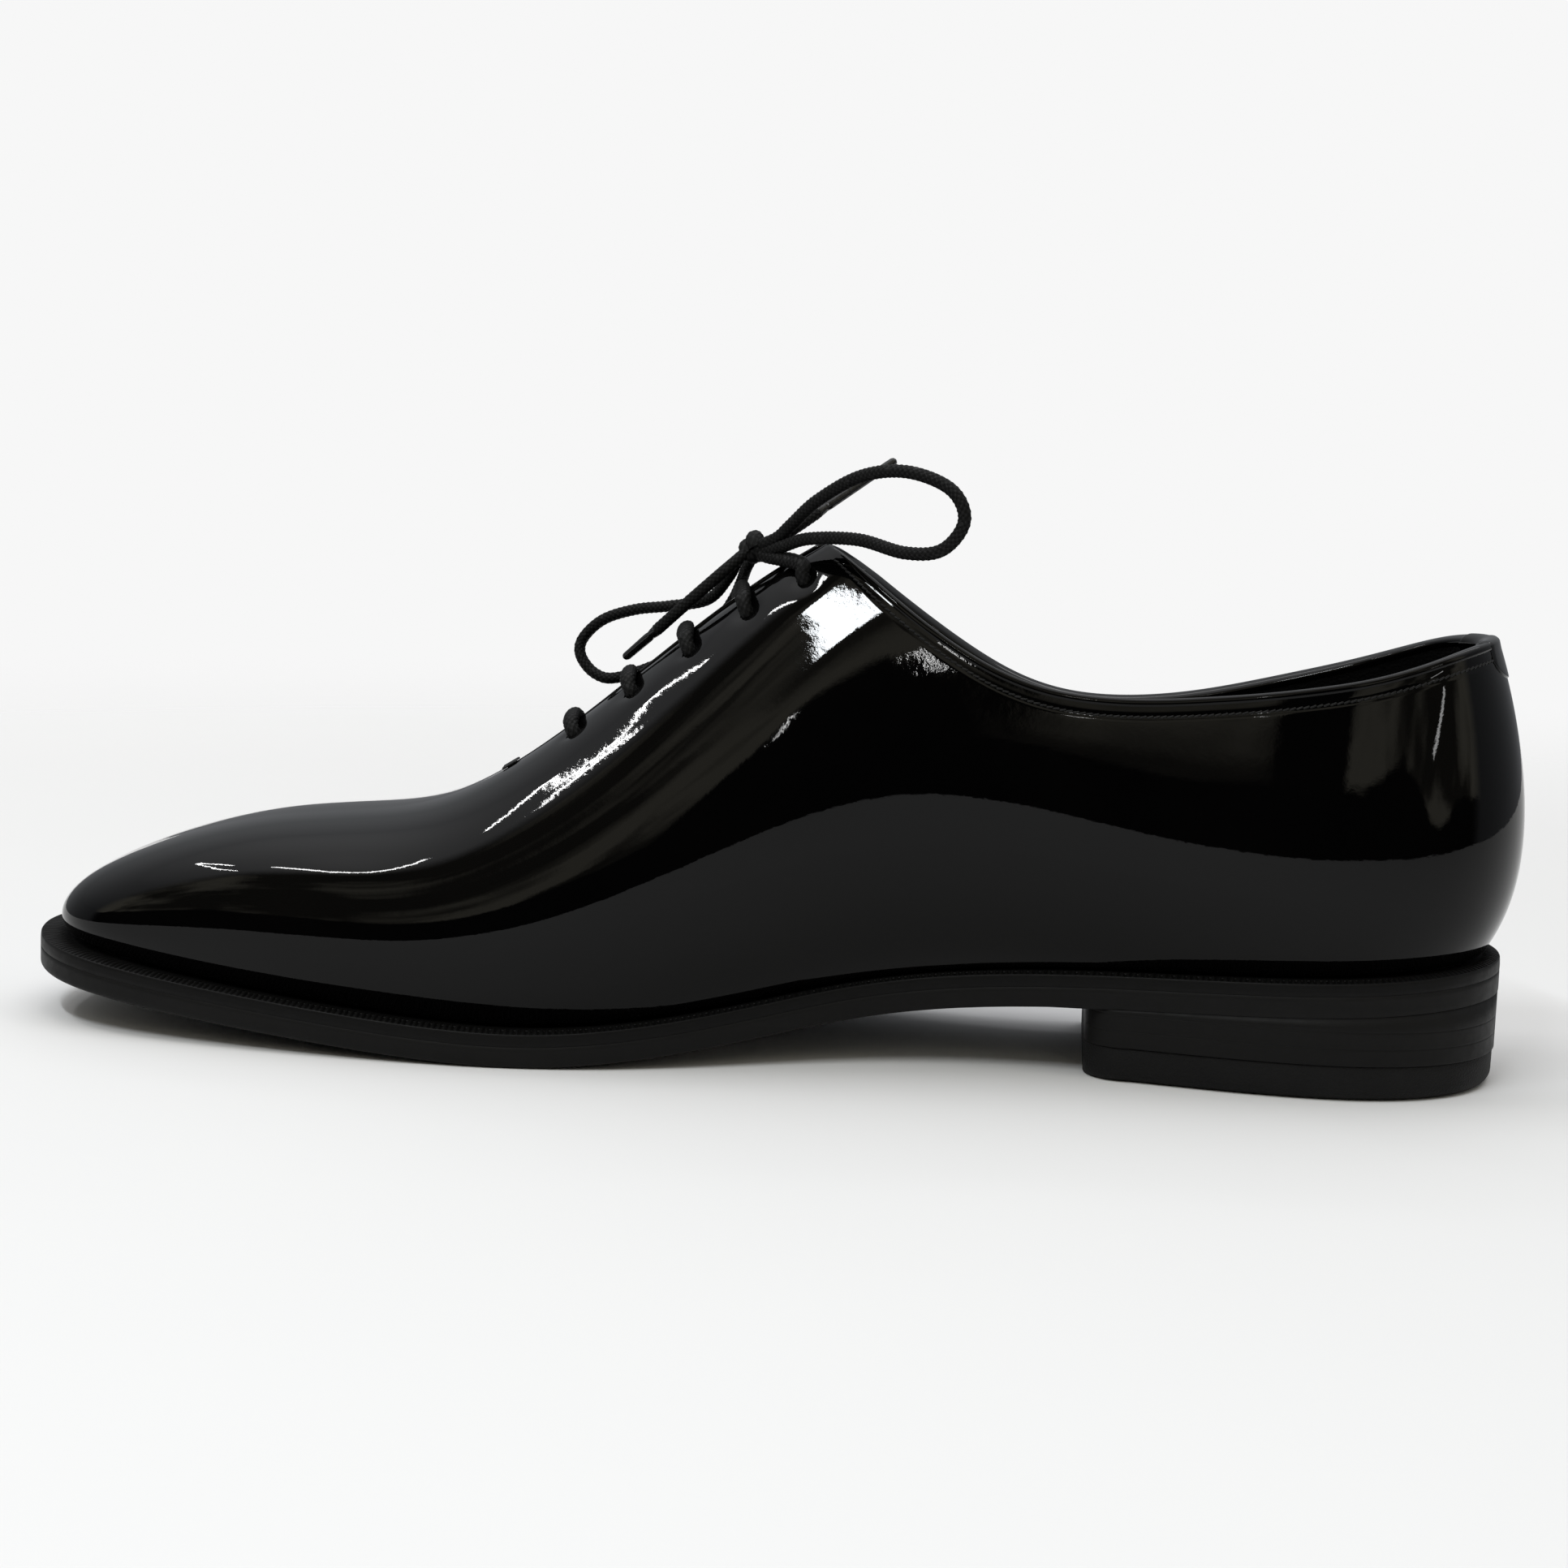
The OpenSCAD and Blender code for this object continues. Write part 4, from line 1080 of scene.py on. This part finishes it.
# The bow's cords. The way points in the lists leaving and entering are measured from the knot
for name, node, body, d, swell, leaving, points, entering in (
    ("near_bow_loop", "near_loop", "near_loop", 2.5, 0.2, [(0.4, 0.6, 0.2), (-2.0, 3.0, 1.1)],
     [(117.2, 7, 103.6), (114.4, 9.8, 106.4), (108.8, 16, 111.7), (99.9, 24, 117), (90.6, 31, 118.4),
      (82, 35, 115.5), (79.2, 36, 109.7), (83.2, 35, 104), (90.5, 31, 102.9), (100.1, 23, 104.6),
      (110.4, 14, 103.9), (116, 8.6, 101.9)], [(-2.6, 3.4, -0.4), (0.2, 0.6, -0.6)]),
    ("far_bow_loop", "far_loop", "far_loop", 2.3, 0.15, [(0.2, -0.4, -0.2), (2.2, -2.6, -1.6)],
     [(126.4, -3.6, 97.8), (128.6, -7, 94), (133.3, -12, 88.9), (141.7, -16, 86.9), (149.4, -19, 85.6),
      (156.5, -21, 83), (160.9, -22, 78.7), (161.1, -21, 75.1), (157.7, -19.5, 71.6), (152.8, -18, 71.1),
      (143.3, -18, 74.8), (134, -16.5, 80.6), (128.4, -12, 88.4), (126, -8, 93.2)],
     [(2.4, -4.4, -4.4), (0.4, -1.2, -1.2)]),
    ("near_lace_tail", "near_tail", "near_end", 2.4, 0.15, [(0.2, 0.4, 0.1), (2.2, 1.6, -1.2)],
     [(126.2, 4.6, 98), (129.6, 5.2, 94.9), (136.4, 4, 88.6), (142.6, 0.9, 82.8)], []),
    ("far_lace_tail", "far_tail", "far_end", 2.3, 0.2, [(-0.2, -0.2, 0.2), (-2.2, -1.4, 1.2)],
     [(117.4, -2.4, 103.2), (114.4, -4, 105.2), (110, -7, 108.5)], []),
):
    whole = [KNOT + q for q in leaving] + points + [KNOT + q for q in entering]
    cord(name, node, body, curve(whole, 24), d, (0, 1, 0), swell)


def aglet(name, node, body, a, b):
    """A plastic tube shrunk on the lace's end: a crimped start, long faint ribs, a closed tip."""
    a, b = np.array(a, float), np.array(b, float)
    length = np.linalg.norm(b - a)
    t = unit(b - a)
    side_way = unit(np.cross(t, (0, 0, 1)))
    up_way = np.cross(side_way, t)
    w = np.linspace(0, 1, 60)[:, None]
    ang = turns(28)
    at = w * length
    r = 1.12 - 0.2 * w + 0.1 * np.exp(-((at / 1.2) ** 2)) - 0.12 * np.exp(-(((at - 2.0) / 0.5) ** 2))
    tip = np.clip((1 - w) * length / 0.8, 0, 1)
    r = r * np.sqrt(np.clip(1 - (1 - tip) ** 2, 0.02, 1)) + 0.04 * np.cos(ang * 6) * tip
    round_ways = np.cos(ang)[:, None] * side_way * 1.1 + np.sin(ang)[:, None] * up_way * 0.88
    pile = Pile()
    pile.tube((a + (b - a) * w)[:, None] + r[..., None] * round_ways)
    pile.piece(name, "aglet_plastic", node, body, weld=0.0005)


aglet("near_aglet_tube", "near_aglet", "near_end", (142.0, 1.2, 83.3), (149.2, -3, 76.8))
aglet("far_aglet_tube", "far_aglet", "far_end", (110.6, -6.7, 108.1), (95.4, -15, 119.2))

# ---- Floor, light and camera

scene.view_settings.view_transform = "Standard"
CENTRE_X = 0.1
FLOOR_R = 0.85
FADE_FROM = 0.2
PALE = 0.93


def soft_step(nt, value, low, high):
    values = {"Value": value, "From Min": low, "From Max": high}
    return shader(nt, "MapRange", values, interpolation_type="SMOOTHSTEP").outputs["Result"]


def mixed(nt, fac, a, b):
    """A blend of two colours, which are sockets 6 and 7 and output 2 of a mix node."""
    return shader(nt, "Mix", {"Factor": fac, 6: a, 7: b}, data_type="RGBA").outputs[2]


def either(nt, fac, a, b, into):
    """Sends shader a, or by the factor shader b, into a socket."""
    nt.links.new(shader(nt, "MixShader", {0: fac, 1: a.outputs[0], 2: b.outputs[0]}).outputs[0], into)


def floor():
    """A pale round table top. Seen directly it fades into the pale background before its rim."""
    a = turns(128)
    rings = [np.stack([CENTRE_X + r * np.cos(a), r * np.sin(a), 0 * a], -1) / MM
             for r in [0.0, *np.geomspace(0.05, FLOOR_R, 24)]]
    pile = Pile()
    pile.grid(np.array(rings), closed_v=True)
    nt = material("floor", (0.8, 0.8, 0.8), 0.7, spec=0.1)
    drive(nt, "Base Color", noise_tex(nt, 3, 3), (0.3, (0.83, 0.83, 0.833)), (0.7, 0.85))
    away = shader(nt, "VectorMath", {0: coords(nt), 1: (CENTRE_X, 0, 0)}, operation="DISTANCE")
    fade = times(nt, soft_step(nt, away.outputs["Value"], FADE_FROM, FLOOR_R * 0.92),
                 shader(nt, "LightPath").outputs["Is Camera Ray"])
    either(nt, fade, nt.nodes["Principled BSDF"], shader(nt, "BsdfTransparent"),
           nt.nodes["Material Output"].inputs["Surface"])
    ob = pile.mesh("studio_floor", MAT["floor"], weld=0.01)
    ob.location.z = -0.0001


def world():
    """Pale to the camera. To the shoe it is a room: dark low down, brownish walls, a pale ceiling,
    a dark figure in front and a grey wall behind."""
    scene.world = bpy.data.worlds.new("studio")
    scene.world.use_nodes = True
    nt = scene.world.node_tree
    nt.nodes.clear()
    way = shader(nt, "TexCoord").outputs["Generated"]
    x, y, z = shader(nt, "SeparateXYZ", {0: way}).outputs
    blot = shader(nt, "TexNoise", {"Vector": way, "Scale": 2.6, "Detail": 3}).outputs["Fac"]
    walls = mixed(nt, soft_step(nt, blot, 0.42, 0.56), (0.12, 0.112, 0.09), (0.9, 0.85, 0.7))
    uneven = weighed(nt, blot, 0.2, soft_step(nt, x, -0.5, -0.8), 0.2)
    bearing = math_node(nt, "DIVIDE", x, y)
    figure = times(nt, soft_step(nt, bearing, -0.24, -0.2), soft_step(nt, bearing, 0.035, 0.01))
    figure = times(nt, figure, soft_step(nt, z, 0.6, 0.56))
    lit = times(nt, soft_step(nt, math_node(nt, "ADD", z, uneven), 0.37, 0.4),
                math_node(nt, "SUBTRACT", 1.0, figure))
    front = mixed(nt, lit, (0.002, 0.002, 0.002), walls)
    grey_wall = ramp(nt, z, [(0, (0.2, 0.205, 0.215)), (0.3, (0.27, 0.28, 0.29)), (0.64, (0.55, 0.56, 0.58)),
                             (0.82, (1.1, 1.11, 1.13)), (1, (1.6, 1.6, 1.62))])
    around = mixed(nt, soft_step(nt, y, 0.24, 0.06), front, grey_wall)
    full = mixed(nt, soft_step(nt, z, 0.88, 0.96), around, (1.7, 1.7, 1.72))
    room, seen = (shader(nt, "Background", {"Color": color}) for color in (full, (PALE, PALE, PALE)))
    either(nt, shader(nt, "LightPath").outputs["Is Camera Ray"], room, seen,
           shader(nt, "OutputWorld").inputs["Surface"])


def direction(az, el):
    """A unit vector: az from +Y towards +X, el above the floor, in degrees."""
    a, e = math.radians(az), math.radians(el)
    return Vector((math.sin(a) * math.cos(e), math.cos(a) * math.cos(e), math.sin(e)))


def stand(ob, x, y, z, place):
    """Puts an object into the scene with its own axes along three ways."""
    scene.collection.objects.link(ob)
    ob.matrix_world = Matrix.Translation(place) @ Matrix((x, y, z)).transposed().to_4x4()


WINDOW_FAR = 1.6


def window(name, at, start, end, wide, glow, color=(1, 1, 1)):
    """A long window seen from a point of the shoe between two (az, el) directions, wide degrees across."""
    d1, d2 = direction(*start), direction(*end)
    way = (d1 + d2).normalized()
    u = d2 - d1
    u = (u - u.dot(way) * way).normalized()
    light = bpy.data.lights.new(name, "AREA")
    light.shape = "RECTANGLE"
    light.size = 2 * WINDOW_FAR * math.tan(d1.angle(d2) / 2)
    light.size_y = 2 * WINDOW_FAR * math.tan(math.radians(wide / 2))
    light.energy = glow * light.size * light.size_y * math.pi
    light.color = color
    stand(bpy.data.objects.new(name, light), u, way.cross(u), way, Vector(at) * MM + way * WINDOW_FAR)


floor()
world()
window("window_front", (103, 20, 90), (44, 57.5), (9, 43.4), 1.7, 75, color=(0.93, 0.97, 1))
window("window_toe_low", (158, 31.5, 52), (90, 50.6), (83, 51.7), 0.3, 75)
window("window_toe_mid", (152, 29.5, 58), (97, 48.8), (88, 50.3), 0.35, 75)
window("window_toe_high", (147, 26, 64), (112, 45), (96, 49), 0.3, 75)
window("window_facing", (135, 21, 76), (112, 44.6), (95, 51.6), 0.35, 75)
window("window_vamp", (199, 34, 36), (86, 60), (68, 64), 0.9, 60)
window("lamp_collar", (82, 24, 84), (0.9, 29.4), (2.2, 33.4), 0.16, 70)
window("window_heel", (-14, 26, 72), (-48, 14.5), (-57, 19), 1.0, 14)
window("window_far", (120, -30, 60), (215, 40), (165, 46), 5, 2.2)

cam = bpy.data.cameras.new("camera")
cam.lens = 69.3
scene.camera = bpy.data.objects.new("camera", cam)
CAM_FAR, CAM_EL, CAM_YAW, CAM_ROLL = 0.62, 8, 5, math.radians(2)
CAM_TARGET = Vector((0.115, 0, 0.0526))
back = direction(-CAM_YAW, CAM_EL)
right = Vector((0, 0, 1)).cross(back).normalized()
up = back.cross(right)
stand(scene.camera, right * math.cos(CAM_ROLL) + up * math.sin(CAM_ROLL),
      up * math.cos(CAM_ROLL) - right * math.sin(CAM_ROLL), back, CAM_TARGET + back * CAM_FAR)
